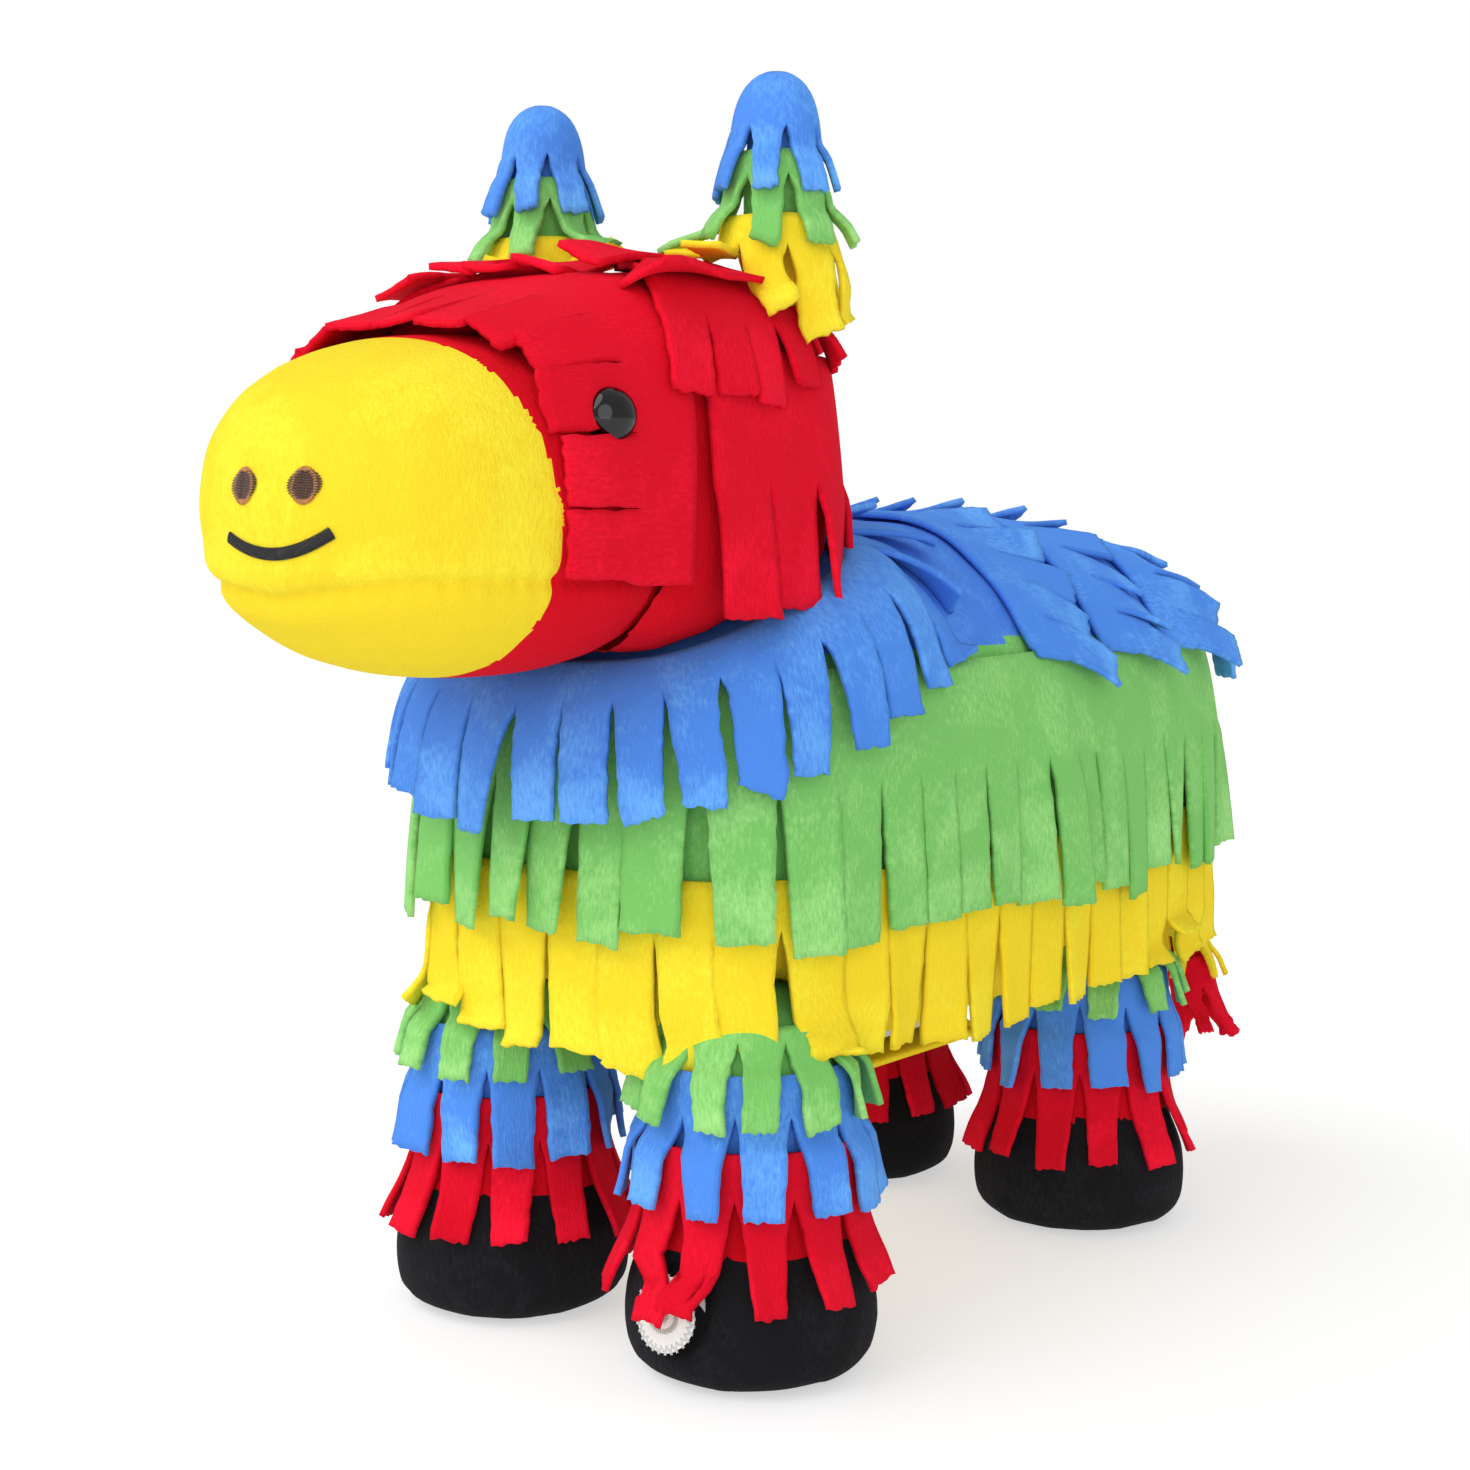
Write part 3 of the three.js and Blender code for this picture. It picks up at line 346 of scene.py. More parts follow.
def hull_of(pieces):
    """The search tree of a skin stretched over these pieces, as a panel sewn across a fold is."""
    stretched = bmesh.new()
    for piece in pieces:
        stretched.from_mesh(piece.data)
    bmesh.ops.convex_hull(stretched, input=stretched.verts, use_existing_faces=False)
    # The pieces' own faces are quads, and the hull's are triangles.
    for face in list(stretched.faces):
        if any(not e.is_manifold for e in face.edges) and len(face.verts) != 3:
            stretched.faces.remove(face)
    loose = [v for v in stretched.verts if not v.link_faces]
    bmesh.ops.delete(stretched, geom=loose, context="VERTS")
    tree = BVHTree.FromBMesh(stretched)
    stretched.free()
    return tree


def blend_of(pieces, voxel, times):
    """The search tree of these pieces joined into one, with the folds between them rounded."""
    joined = bmesh.new()
    for piece in pieces:
        joined.from_mesh(piece.data)
    mesh = bpy.data.meshes.new("blend")
    joined.to_mesh(mesh)
    joined.free()
    blend = made_of("blend", mesh)
    apply(blend, "REMESH", mode="VOXEL", voxel_size=voxel * MM)
    apply(blend, "SMOOTH", iterations=times)
    tree = surface_of([blend])
    bpy.data.objects.remove(blend)
    return tree


def around(skin, middle, right, up, count, turns=(0, 2 * math.pi), reach=0.3):
    """`count` places evenly spaced round a form, where rays towards `middle` meet it.

    A turn of 0 looks along `up`, and a quarter turn along `right`. Each place comes with its turn."""
    fine = 360
    middle, right, up = Vector(middle), Vector(right), Vector(up)
    places, angles, lengths = [], [], [0.0]
    for i in range(fine + 1):
        angle = turns[0] + (turns[1] - turns[0]) * i / fine
        out = right * math.sin(angle) + up * math.cos(angle)
        hit = skin.ray_cast(middle + out * reach, -out, reach)[0]
        places.append(hit if hit is not None else places[-1])
        angles.append(angle)
        if i:
            lengths.append(lengths[-1] + (places[i] - places[i - 1]).length)
    wanted = [(k + 0.5) / count * lengths[-1] for k in range(count)]
    chosen = [int(np.argmin(np.abs(np.array(lengths) - w))) for w in wanted]
    return [(places[i], angles[i]) for i in chosen]


def between(lines, at, ring):
    """Smooth interpolation across the strips' lines at whole and part numbers `at`."""
    count = len(lines)
    if not ring:
        lines = np.concatenate([[2 * lines[0] - lines[1]], lines, [2 * lines[-1] - lines[-2]]])
    low = np.floor(at).astype(int)
    t = (at - low)[:, None]

    def line(i):
        return lines[i % count] if ring else lines[np.clip(i + 1, 0, count + 1)]
    a, b, c, d = (line(low + k) for k in (-1, 0, 1, 2))

    def curve(n, r):
        p0, p1, p2, p3 = (points[n, r] for points in (a, b, c, d))
        return 0.5 * (2 * p1 + (p2 - p0) * t[n] + (2 * p0 - 5 * p1 + 4 * p2 - p3) * t[n] ** 2
                      + (3 * p1 - p0 - 3 * p2 + p3) * t[n] ** 3)
    return lambda row: [curve(n, r) for n, r in enumerate(row)]


def comb(node, body, skin, under, starts, heading, length, slit, materials, *, ring=True, droop=0.0,
         cling=0.0, lift=0.8, flare=(1.0, 3.5), gap=(0.06, 0.2), sway=1.4, twist=0.22, curl=0.6, rag=0.45,
         across=9, rows=16, seed=1, uneven=0.05, longer=None):
    """A band of plush cut into strips and sewn round a form.

    Lengths and lifts are in millimetres. A strip leaves its start along heading( turn ), falls as
    `droop` says, is held to the skin as `cling` says, and never sinks into what lies under it.
    `longer`( turn ) is added to its length."""
    chance = random.Random(seed)
    count = len(starts)
    layers = surface_of(under) if under else None
    deep = 0.03

    def floor_above(point, near, out):
        hit = layers.ray_cast(near + out * deep, -out, deep)[3] if layers else None
        return deep - hit if hit is not None else 0.0

    # The line that each strip's middle follows, and the way out of the skin along it.
    lines = np.empty((count, rows + 1, 3))
    outs = np.empty((count, rows + 1, 3))
    for i, (place, turn) in enumerate(starts):
        point, way = place.copy(), Vector(heading(turn)).normalized()
        reach = (length + (longer(turn) if longer else 0)) * MM * (1 + chance.uniform(-uneven, uneven))
        stand = chance.uniform(*flare)
        for k in range(rows + 1):
            share = k / rows
            near, out = skin.find_nearest(point)[:2]
            height = (point - near).dot(out)
            wanted = floor_above(point, near, out) + (lift + stand * max(0, share - slit) ** 1.5) * MM
            settled = wanted if height < wanted else height + (wanted - height) * cling
            point = near + out * settled
            lines[i, k], outs[i, k] = point, out
            way = (way + Vector((0, 0, -1)) * droop / rows).normalized()
            into = min(0.0, way.dot(out)) if height <= wanted or cling else 0.0
            along = (way - out * into).normalized()
            point = point + along * reach / rows
            way = (way * 0.5 + along * 0.5).normalized()
    lines[:, 1:-1] = (lines[:, :-2] + 2 * lines[:, 1:-1] + lines[:, 2:]) / 4

    # The flat cut piece: a grid as wide as the strips together, split at the slits.
    bpy.ops.object.select_all(action="DESELECT")
    bpy.ops.mesh.primitive_grid_add(x_subdivisions=count * across, y_subdivisions=rows, size=1)
    piece = bpy.context.object
    piece.name = f"{node}_plush"
    slit_row = max(1, round(slit * rows))
    bpy.ops.object.mode_set(mode="EDIT")
    bpy.ops.mesh.select_mode(type="EDGE")
    bpy.ops.mesh.select_all(action="DESELECT")
    grid = bmesh.from_edit_mesh(piece.data)
    for edge in grid.edges:
        (x0, y0), (x1, y1) = ((v.co.x + 0.5, 0.5 - v.co.y) for v in edge.verts)
        column = x0 * count
        on_slit = abs(x0 - x1) < 1e-6 and abs(column - round(column)) < 1e-4 and 0 < round(column) < count
        edge.select = on_slit and min(y0, y1) > (slit_row - 0.5) / rows
    bmesh.update_edit_mesh(piece.data)
    bpy.ops.mesh.edge_split(type="EDGE")
    bpy.ops.object.mode_set(mode="OBJECT")

    # Which strip each corner belongs to, and where it is on it.
    co = coordinates(piece)
    x, v = (co[:, 0] + 0.5) * count, 0.5 - co[:, 1]
    belongs, faces_at = np.zeros(len(co)), np.zeros(len(co))
    for face in piece.data.polygons:
        for i in face.vertices:
            belongs[i] += (face.center.x + 0.5) * count
            faces_at[i] += 1
    strip = np.clip(np.floor(belongs / faces_at), 0, count - 1).astype(int)
    row = np.clip(np.round(v * rows), 0, rows).astype(int)
    u = x - strip - 0.5

    # The whole band, and the strips that part from it below the slits.
    band = np.array(between(lines, x - 0.5, ring)(row))
    neighbour = np.roll(lines, -1, 0) - np.roll(lines, 1, 0)
    if not ring:
        neighbour[0], neighbour[-1] = 2 * (lines[1] - lines[0]), 2 * (lines[-1] - lines[-2])
    side = neighbour[:, slit_row] / 2
    width = np.linalg.norm(side, axis=1)
    draws = [[chance.uniform(*gap), chance.uniform(-sway, sway), chance.uniform(-twist, twist),
              chance.uniform(-0.3, curl), chance.random()] for _ in range(count)]
    shut, sways, twists, curls, naps = np.array(draws).T
    tangent = np.gradient(lines, axis=1)
    tangent /= np.linalg.norm(tangent, axis=2, keepdims=True)
    t, n, s = tangent[strip, row], outs[strip, row], side[strip]
    s = s - t * (s * t).sum(1, keepdims=True)
    s /= np.linalg.norm(s, axis=1, keepdims=True)
    n = n - t * (n * t).sum(1, keepdims=True)
    n -= s * (n * s).sum(1, keepdims=True)
    n /= np.linalg.norm(n, axis=1, keepdims=True)
    free = np.clip((v - slit_row / rows) / (1 - slit_row / rows), 0, 1)
    edge_rag = np.array([chance.uniform(-1, 1) for _ in range(len(co))])
    at_side = np.abs(u) > 0.49
    frayed = np.where(at_side, edge_rag * rag * 0.5 * MM, 0) * (free > 0)
    reach_u = u * width[strip] * (1 - shut[strip] * np.sqrt(free)) + frayed
    turned = twists[strip] * free * 2
    sideways = (sways[strip] * free ** 1.5 * MM)[:, None] * s
    rolled = (curls[strip] * (2 * u) ** 2 * free * MM)[:, None] * n
    own = lines[strip, row] + sideways + rolled + reach_u[:, None] * (
        np.cos(turned)[:, None] * s + np.sin(turned)[:, None] * n)
    own += (np.where(row == rows, edge_rag, 0) * rag * MM)[:, None] * t
    parted = np.clip(free * rows / 3.0, 0, 1)[:, None]
    placed = band * (1 - parted) + own * parted
    for i, point in enumerate(placed):
        point = Vector(point)
        near, out = skin.find_nearest(point)[:2]
        wanted = (floor_above(point, near, out) + 0.35 * MM) if free[i] < 0.7 or cling else 0.3 * MM
        if (point - near).dot(out) < wanted:
            placed[i] = near + out * wanted
    uv = piece.data.uv_layers[0].data
    mean = float(width.mean())
    for loop in piece.data.loops:
        i = loop.vertex_index
        uv[loop.index].uv = (x[i] * mean / MM, (1 - v[i]) * length)
    move_to(piece, placed)
    # This attribute also carries the muzzle's painted shade; here it holds each strip's nap, drawn at random,
    # and most strips turn lighter towards their tips.
    nap_and_painted_shade = piece.data.attributes.new("nap_and_painted_shade", "FLOAT", "POINT")
    tips = np.clip((v - 0.45 - 0.35 * naps[strip]) / 0.12, 0, 1)
    lay = 0.22 * (naps[strip] - 0.5) * parted[:, 0] + 0.2 * tips * (naps[strip] > 0.35)
    nap_and_painted_shade.data.foreach_set("value", lay.astype(np.float32))
    outward = normals_of(piece)
    if (outward * outs[strip, row]).sum() < 0:
        turn_over(piece)
    activate(piece)
    bpy.ops.object.mode_set(mode="EDIT")
    bpy.ops.mesh.select_all(action="SELECT")
    bpy.ops.mesh.remove_doubles(threshold=0.02 * MM)
    bpy.ops.object.mode_set(mode="OBJECT")
    apply(piece, "SOLIDIFY", thickness=FABRIC, offset=1, material_offset_rim=1)
    for material in materials:
        piece.data.materials.append(material)
    bpy.ops.object.shade_smooth()
    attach(piece, body)
    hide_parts(node)
    return piece


def level(z, middle_y, skin, count):
    """Starts evenly round a form at one height, from the front towards the left side."""
    return around(skin, (0, middle_y, z), (1, 0, 0), (0, -1, 0), count)


def cut_plush(colour, deep, light, bias, contrast, edge):
    """The plush of one colour's strips, and its cut edge."""
    face = plush(f"{colour}_minky_cut", deep, light, flat_pattern=True, bias=bias, contrast=contrast,
                 patch=22)
    return [face, cut_edge(f"{colour}_cut_edge", edge)]


RED = cut_plush("red", "#c00014", "#fa1838", 0.38, 0.25, "#a5000c")
YELLOW = cut_plush("yellow", "#efbe08", "#f9ea3c", 0.5, 0.28, "#eda900")
BLUE = cut_plush("blue", "#1f58d0", "#6fb4ff", 0.42, 0.34, "#1f49b4")
GREEN = cut_plush("green", "#46a43c", "#a8e48c", 0.38, 0.32, "#1f7f2c")

torso_skin = surface_of([torso])
torso_low, torso_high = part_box("torso_core")
torso_middle = (torso_low.y + torso_high.y) / 2


def down(turn):
    return (0, 0, -1)


yellow_band = comb("side_fringe_yellow", "body", torso_skin, [torso],
                   level(0.112, torso_middle, torso_skin, 44), down, 42, 0.24, YELLOW, droop=2.0,
                   lift=0.8, flare=(1.5, 4), gap=(0.03, 0.14), seed=11)
green_band = comb("side_fringe_green", "body", torso_skin, [yellow_band],
                  level(0.156, torso_middle, torso_skin, 48), down, 60, 0.4, GREEN, droop=2.0,
                  lift=0.8, flare=(1.0, 3), gap=(0.05, 0.18), rows=22, seed=12)

back_rows = []
for number in (4, 3, 2, 1):
    row_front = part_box(f"back_row_{number}")[0].y + 4 * MM
    edge_turn = math.radians(54 if number == 4 else 60)
    starts = around(torso_skin, (0, row_front, 0.122), (1, 0, 0), (0, 0, 1), 13, (-edge_turn, edge_turn))

    def fan(turn):
        return (0.4 * math.sin(turn), 1, 0)
    back_rows.append(comb(
        f"back_row_{number}", "body", torso_skin, [green_band, *back_rows], starts, fan,
        25 if number == 4 else 31, 0.3, BLUE, ring=False, droop=2.0 if number == 4 else 0.6, lift=0.9,
        flare=(1.5, 3.5), gap=(0.02, 0.14),
        sway=2.5, twist=0.3, curl=1.2, seed=20 + number))

# The neck's plane leans back, and the head turns on it. The collar starts close round the head's base.
turn_joint = next(j for j in frame["joints"] if j["name"] == "head_turn")
neck_centre, neck_axis = Vector(turn_joint["pos_m"]), Vector(turn_joint["axis"]).normalized()
chest_way = Vector((0, -neck_axis.z, neck_axis.y))
head_low, head_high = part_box("head_core")
shoulder = 2.6 * MM  # between the head's side and the collar's sewn edge
centres = np.array([p.center for p in torso.data.polygons])
on_ledge = (centres - np.array(neck_centre)) @ np.array(neck_axis)
paint_faces(torso, 2, lambda c: (on_ledge > -9 * MM) & (c[:, 2] > 0.135))


def collar_places(count):
    """Places round the head's base, on the ledge that the head sits on."""
    base = surface_of([frame["nodes"]["head_core"]])
    found = around(base, neck_centre + neck_axis * 0.6 * MM, (1, 0, 0), chest_way, count)
    out = [Vector((math.sin(turn), 0, 0)) + chest_way * math.cos(turn) for _, turn in found]
    return [(place + way.normalized() * shoulder, turn) for (place, turn), way in zip(found, out)]


def spread(turn):
    return Vector((math.sin(turn), 0, 0)) + chest_way * math.cos(turn)


comb("collar_fringe", "body", torso_skin, [green_band, *back_rows],
     collar_places(26), spread, 39, 0.3, BLUE, droop=3.0, lift=0.9, flare=(2, 5), gap=(0.08, 0.24),
     sway=2, rows=20, seed=31)

# ---- Legs ----
# Four stuffed legs end in round black hooves. Three tiers of fringe hang round each: green, blue and
# red, the red one lying out over the hoof.
# The front left hoof has a shallow pocket behind the press patch.
patch_low, patch_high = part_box("press_patch")
patch_middle, patch_half = (patch_low + patch_high) / 2, (patch_high - patch_low) / 2
pocket_depth = 2.6 * MM


def leg_at(name):
    """The middle of a leg, on the ground."""
    low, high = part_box(f"{name}_leg_fringe_green")
    return Vector(((low.x + high.x) / 2, (low.y + high.y) / 2, 0))


for leg_name, seed in (("front_left", 1), ("front_right", 2), ("rear_left", 3), ("rear_right", 4)):
    leg = stuffed(f"{leg_name}_leg_stuffed", [f"{leg_name}_leg"], "body",
                  [black_plush, red_body_plush, blue_plush, green_plush], voxel=3.6, start=1.0,
                  most=1.3, like="front_right_leg", shift=leg_at(leg_name) - leg_at("front_right"))
    if leg_name == "front_left":
        co = coordinates(leg)
        aside = (co[:, [0, 2]] - [patch_middle.x, patch_middle.z]) / [patch_half.x, patch_half.z]
        in_front = co[:, 1] < leg_at(leg_name).y
        inside = np.clip((1.12 - np.linalg.norm(aside, axis=1)) / 0.16, 0, 1) * in_front
        co[:, 1] += inside * pocket_depth
        move_to(leg, co)
    for index, above in ((1, 0.031), (2, 0.049), (3, 0.066)):
        paint_faces(leg, index, lambda c: c[:, 2] > above)
    axis = leg_at(leg_name)
    skin = surface_of([leg])
    tiers = []
    for colour, materials, top, length, slit, parting in (
        ("red", RED, 54, 35, 0.3, (0.14, 0.36)), ("blue", BLUE, 70, 31, 0.28, (0.08, 0.24)),
        ("green", GREEN, 79, 21.5, 0.12, (0.08, 0.24)),
    ):
        starts = around(skin, axis + Vector((0, 0, top * MM)), (1, 0, 0), (0, -1, 0), 12, reach=0.06)
        over_patch = leg_name == "front_left" and colour == "red"
        beneath = [frame["nodes"]["press_patch"]] if over_patch else tiers
        tiers.append(comb(
            f"{leg_name}_leg_fringe_{colour}", "body", skin, beneath, starts, down, length, slit, materials,
            droop=2.0, lift=2.2 if over_patch else 0.7, flare=(0.8, 4), gap=parting, sway=1.8, twist=0.3,
            across=8, rows=14, seed=40 + 10 * seed + len(tiers)))

# ---- Press patch ----
# A white satin oval on the front of the front left hoof hides the switch. Its rim is overcast in
# silver zigzag thread, and a plain ring and dot are embroidered in grey to show where to press.


def satin(name, colour, painted_groove_shade, thread=0.35, turn=0.0):
    """Satin stitch: rayon threads side by side, smooth and bright along their length, with painted shade in
    the grooves between them.
    """
    material, tree = empty_material(name)
    place = in_millimetres(tree, Rotation=(0, turn, 0))
    threads = add(tree, "TexWave", {"wave_type": "BANDS", "bands_direction": "X"}, Vector=place.outputs[0],
                  Scale=0.314 / thread, Distortion=0.8, Detail=1.0)
    # The darker colour is painted shade, mixed in where the threads' bumps are low.
    colour = add(tree, "Mix", {"data_type": "RGBA"}, _0=threads.outputs["Fac"], _6=linear(painted_groove_shade),
                 _7=linear(colour))
    bump = add(tree, "Bump", Strength=0.5, Distance=0.2 * MM, Height=threads.outputs["Fac"])
    finish_material(tree, add(tree, "BsdfPrincipled", Base_Color=colour.outputs[2], Roughness=0.42,
                              Normal=bump.outputs[0], Sheen_Weight=0.25, Sheen_Roughness=0.3))
    return material


def scattered(name, template, matrices, material, body):
    """One piece made of a template mesh copied to every matrix."""
    co = coordinates(template)
    faces = [list(p.vertices) for p in template.data.polygons]
    points, all_faces = [], []
    for k, matrix in enumerate(matrices):
        m = np.array(matrix)
        points.append(co @ m[:3, :3].T + m[:3, 3])
        all_faces += [[i + k * len(co) for i in f] for f in faces]
    mesh = bpy.data.meshes.new(name)
    mesh.from_pydata(np.concatenate(points).tolist(), [], all_faces)
    mesh.materials.append(material)
    piece = made_of(name, mesh)
    bpy.ops.object.shade_smooth()
    bpy.data.objects.remove(template)
    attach(piece, body)
    return piece


def frame_at(place, along, out, size=(1, 1, 1)):
    """The matrix that puts a template's X along a stitch and its Z out of the cloth."""
    x = Vector(along).normalized()
    z = (Vector(out) - x * Vector(out).dot(x)).normalized()
    y = z.cross(x)
    turned = Matrix((x, y, z)).transposed().to_4x4()
    return Matrix.Translation(place) @ turned @ Matrix.Diagonal((*size, 1))


def thread_template():
    """One short satin thread: a rounded bar, 1 across each way."""
    bpy.ops.object.select_all(action="DESELECT")
    bpy.ops.mesh.primitive_uv_sphere_add(segments=8, ring_count=6, radius=0.5, rotation=(0, math.pi / 2, 0))
    bpy.ops.object.transform_apply(location=True, rotation=True, scale=True)
    return bpy.context.object


patch_skin = surface_of([frame["nodes"]["press_patch"]])


def on_patch(x, z, lift=0.0):
    """The point of the patch's front at x and z from its middle, as shares of its half size."""
    from_front = Vector((patch_middle.x + x * patch_half.x * 0.985, patch_low.y - 0.02,
                         patch_middle.z + (z * 0.87 - 0.1) * patch_half.z))
    hit, out = patch_skin.ray_cast(from_front, Vector((0, 1, 0)), 0.1)[:2]
    return hit + out * lift * MM, out


def oval_disc(name, columns, half, inner_lift, thick):
    """An oval of cloth on the patch: a grid rounded to a disc, laid on, and given its thickness."""
    bpy.ops.object.select_all(action="DESELECT")
    bpy.ops.mesh.primitive_grid_add(x_subdivisions=columns, y_subdivisions=columns, size=2)
    piece = bpy.context.object
    piece.name = name
    flat = coordinates(piece)[:, :2]
    disc = flat * np.sqrt(1 - flat[:, ::-1] ** 2 / 2)
    move_to(piece, [on_patch(x * half, z * half, inner_lift)[0] for x, z in disc])
    if normals_of(piece)[:, 1].sum() > 0:
        turn_over(piece)
    apply(piece, "SOLIDIFY", thickness=thick * MM, offset=1)
    bpy.ops.object.shade_smooth()
    return piece


patch = oval_disc("press_patch_cloth", 36, 0.94, 0.2, 0.5)
patch.data.materials.append(satin("white_satin_twill", "#f3f2ee", "#d9d8d3", thread=0.4, turn=0.7))
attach(patch, "press_button")
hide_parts("press_patch")
rim_stitches = []
for k in range(58):
    turn = 2 * math.pi * k / 58
    slant = 0.16 if k % 2 else -0.16
    (a, out), (b, _) = (on_patch(math.sin(turn + d) * r, math.cos(turn + d) * r, 0.75)
                        for r, d in ((0.76, -slant / 2), (0.98, slant / 2)))
    rim_stitches.append(frame_at((a + b) / 2, b - a, out, ((b - a).length * 1.15, 0.5 * MM, 0.45 * MM)))
scattered("press_patch_overcast_rim", thread_template(), rim_stitches,
          satin("silver_rayon_thread", "#e4e4e2", "#a9aaac", thread=0.3), "press_button")
sign_stitches = []
for r, count, wide in ((0.44, 44, 0.17), (0.12, 14, 0.2)):
    for k in range(count):
        turn = 2 * math.pi * k / count
        (a, out), (b, _) = (on_patch(math.sin(turn) * q, math.cos(turn) * q * 0.9, 0.62)
                            for q in (r - wide / 2, r + wide / 2))
        sign_stitches.append(frame_at((a + b) / 2, b - a, out, ((b - a).length * 1.2, 0.62 * MM, 0.35 * MM)))
scattered("press_patch_ring_and_dot", thread_template(), sign_stitches,
          satin("grey_rayon_thread", "#bdbcb6", "#9c9b96", thread=0.3), "press_button")

# ---- Head ----
# The stuffed head is red short-pile plush; the big muzzle is sewn from an upper and a lower yellow
# panel, whose seam runs round under the smile, and is red where it meets the head.
head = stuffed("head_stuffed", ["head_core"], "head", [red_body_plush], voxel=4.0, start=1.2, most=1.6)
muzzle = stuffed("muzzle_stuffed", ["muzzle_upper", "muzzle_lower"], "head", [
    plush("yellow_minky_muzzle", "#e8ba0a", "#f2e238", bias=0.55, patch=26, contrast=0.4), red_body_plush],
    voxel=4.0, start=0.6, most=2.4, smooth=1)
apply(muzzle, "SUBSURF", levels=1, render_levels=1)
co = coordinates(muzzle)
SEAM_FRONT, SEAM_RISE = 173.5 * MM, 3.5 * MM  # its height at the front, and how much it rises to the sides
seam_height = SEAM_FRONT + SEAM_RISE * np.minimum(1, np.abs(co[:, 0]) / 0.03)
from_seam = (co[:, 2] - seam_height) / MM
pulled = 1.1 * np.exp(-(from_seam / 1.3) ** 2) - 0.5 * np.exp(-((np.abs(from_seam) - 4) / 2.5) ** 2)
puckers = 0.25 * np.sin(np.arctan2(co[:, 0], -(co[:, 1] + 0.11)) * 70) * np.exp(-(from_seam / 3.5) ** 2)
move_to(muzzle, co - normals_of(muzzle) * ((pulled + puckers) * MM)[:, None])
# The lower panel is painted darker and the upper one a little lighter, across the seam: painted shade on the
# muzzle's underside.
nap_and_painted_shade = muzzle.data.attributes.new("nap_and_painted_shade", "FLOAT", "POINT")
lower = 1 / (1 + np.exp(from_seam * 2.2))
nap_and_painted_shade.data.foreach_set("value", (0.12 - 0.42 * lower).astype(np.float32))
yellow_edge = -131 * MM  # the red plush of the head is sewn on behind it
paint_faces(muzzle, 1, lambda c: c[:, 1] > yellow_edge - 0.008 * np.clip((c[:, 2] - 0.19) / 0.035, 0, 1))
muzzle_skin = surface_of([muzzle])
face_skin = surface_of([head, muzzle])

# The nostrils and the smile are embroidered on the muzzle's front before it is filled.
FACE_MIDDLE = 4.5 * MM  # the head was sewn a little to its left
NOSTRIL_X, NOSTRIL_Z = 7.9, 195.6  # from the face's middle and from the table, in millimetres


def on_muzzle(x, z, lift=0.0):
    """The point of the muzzle's front at x from the face's middle and at height z, in millimetres."""
    hit, out = muzzle_skin.ray_cast(Vector((FACE_MIDDLE + x * MM, -0.3, z * MM)), Vector((0, 1, 0)), 0.4)[:2]
    return hit + out * lift * MM, out


outline, filling = [], []
for side in (1, -1):
    for k in range(40):
        turn = 2 * math.pi * k / 40
        cx, cz = side * NOSTRIL_X + math.sin(turn) * 2.6, NOSTRIL_Z + math.cos(turn) * 3.1
        place, out = on_muzzle(cx, cz, 0.25)
        beyond, _ = on_muzzle(side * NOSTRIL_X + math.sin(turn) * 3.1, NOSTRIL_Z + math.cos(turn) * 3.7, 0.25)
        outline.append(frame_at(place, beyond - place, out, (1.25 * MM, 0.5 * MM, 0.6 * MM)))
    for k in range(11):
        height = -2.5 + 5.0 * k / 10
        wide = 2.3 * math.sqrt(max(0.05, 1 - (height / 2.9) ** 2))
        for part in (-0.5, 0.5):
            middle = side * NOSTRIL_X + part * wide * 1.6
            a, out = on_muzzle(middle - wide * 0.8, NOSTRIL_Z + height, 0.25)
            b = on_muzzle(middle + wide * 0.8, NOSTRIL_Z + height + 0.25, 0.25)[0]
            filling.append(frame_at((a + b) / 2, b - a, out, ((b - a).length * 1.2, 0.58 * MM, 0.7 * MM)))
scattered("nostril_outlines", thread_template(), outline,
          satin("tan_rayon_thread", "#c98a4a", "#9c6430"), "head")
scattered("nostril_fillings", thread_template(), filling,
          satin("brown_rayon_thread", "#5a3216", "#38200f"), "head")
smile = []
for k in range(74):
    x = -13.4 + 26.8 * k / 73
    bow = 182.6 + 3.6 * (x / 13.4) ** 2 + 0.035 * x
    slope = Vector((-2 * 3.6 * x / 13.4 ** 2, 0, 1)).normalized()
    (a, out), (b, _) = (on_muzzle(x + slope.x * d, bow + slope.z * d, 0.3) for d in (-1.15, 1.15))
    smile.append(frame_at((a + b) / 2, b - a, out, ((b - a).length * 1.15, 0.5 * MM, 0.85 * MM)))
scattered("smile", thread_template(), smile, satin("black_rayon_thread", "#17161a", "#050506"), "head")

# The eyes are glossy black plastic domes, held by a washer inside the head.


def gloss(name, colour, roughness, coat=0.0, grain=0.6, depth=0.05):
    """Moulded plastic: the mould's polish or fine spark grain, a little uneven."""
    material, tree = empty_material(name)
    place = in_millimetres(tree)
    spark = add(tree, "TexNoise", Vector=place.outputs[0], Scale=1 / grain, Detail=2.0)
    cloud = add(tree, "TexNoise", Vector=place.outputs[0], Scale=1 / 9, Detail=2.0)
    rough = contrasted(tree, cloud, roughness * 0.85, roughness * 1.2)
    shade = contrasted(tree, cloud, 0.94, 1.05)
    tone = add(tree, "Mix", {"data_type": "RGBA", "blend_type": "MULTIPLY"}, _0=1.0, _6=linear(colour),
               _7=shade.outputs[0])
    bump = add(tree, "Bump", Strength=0.3, Distance=depth * MM, Height=spark.outputs[0])
    finish_material(tree, add(tree, "BsdfPrincipled", Base_Color=tone.outputs[2], Roughness=rough.outputs[0],
                              Normal=bump.outputs[0], Coat_Weight=coat, Coat_Roughness=0.04))
    return material


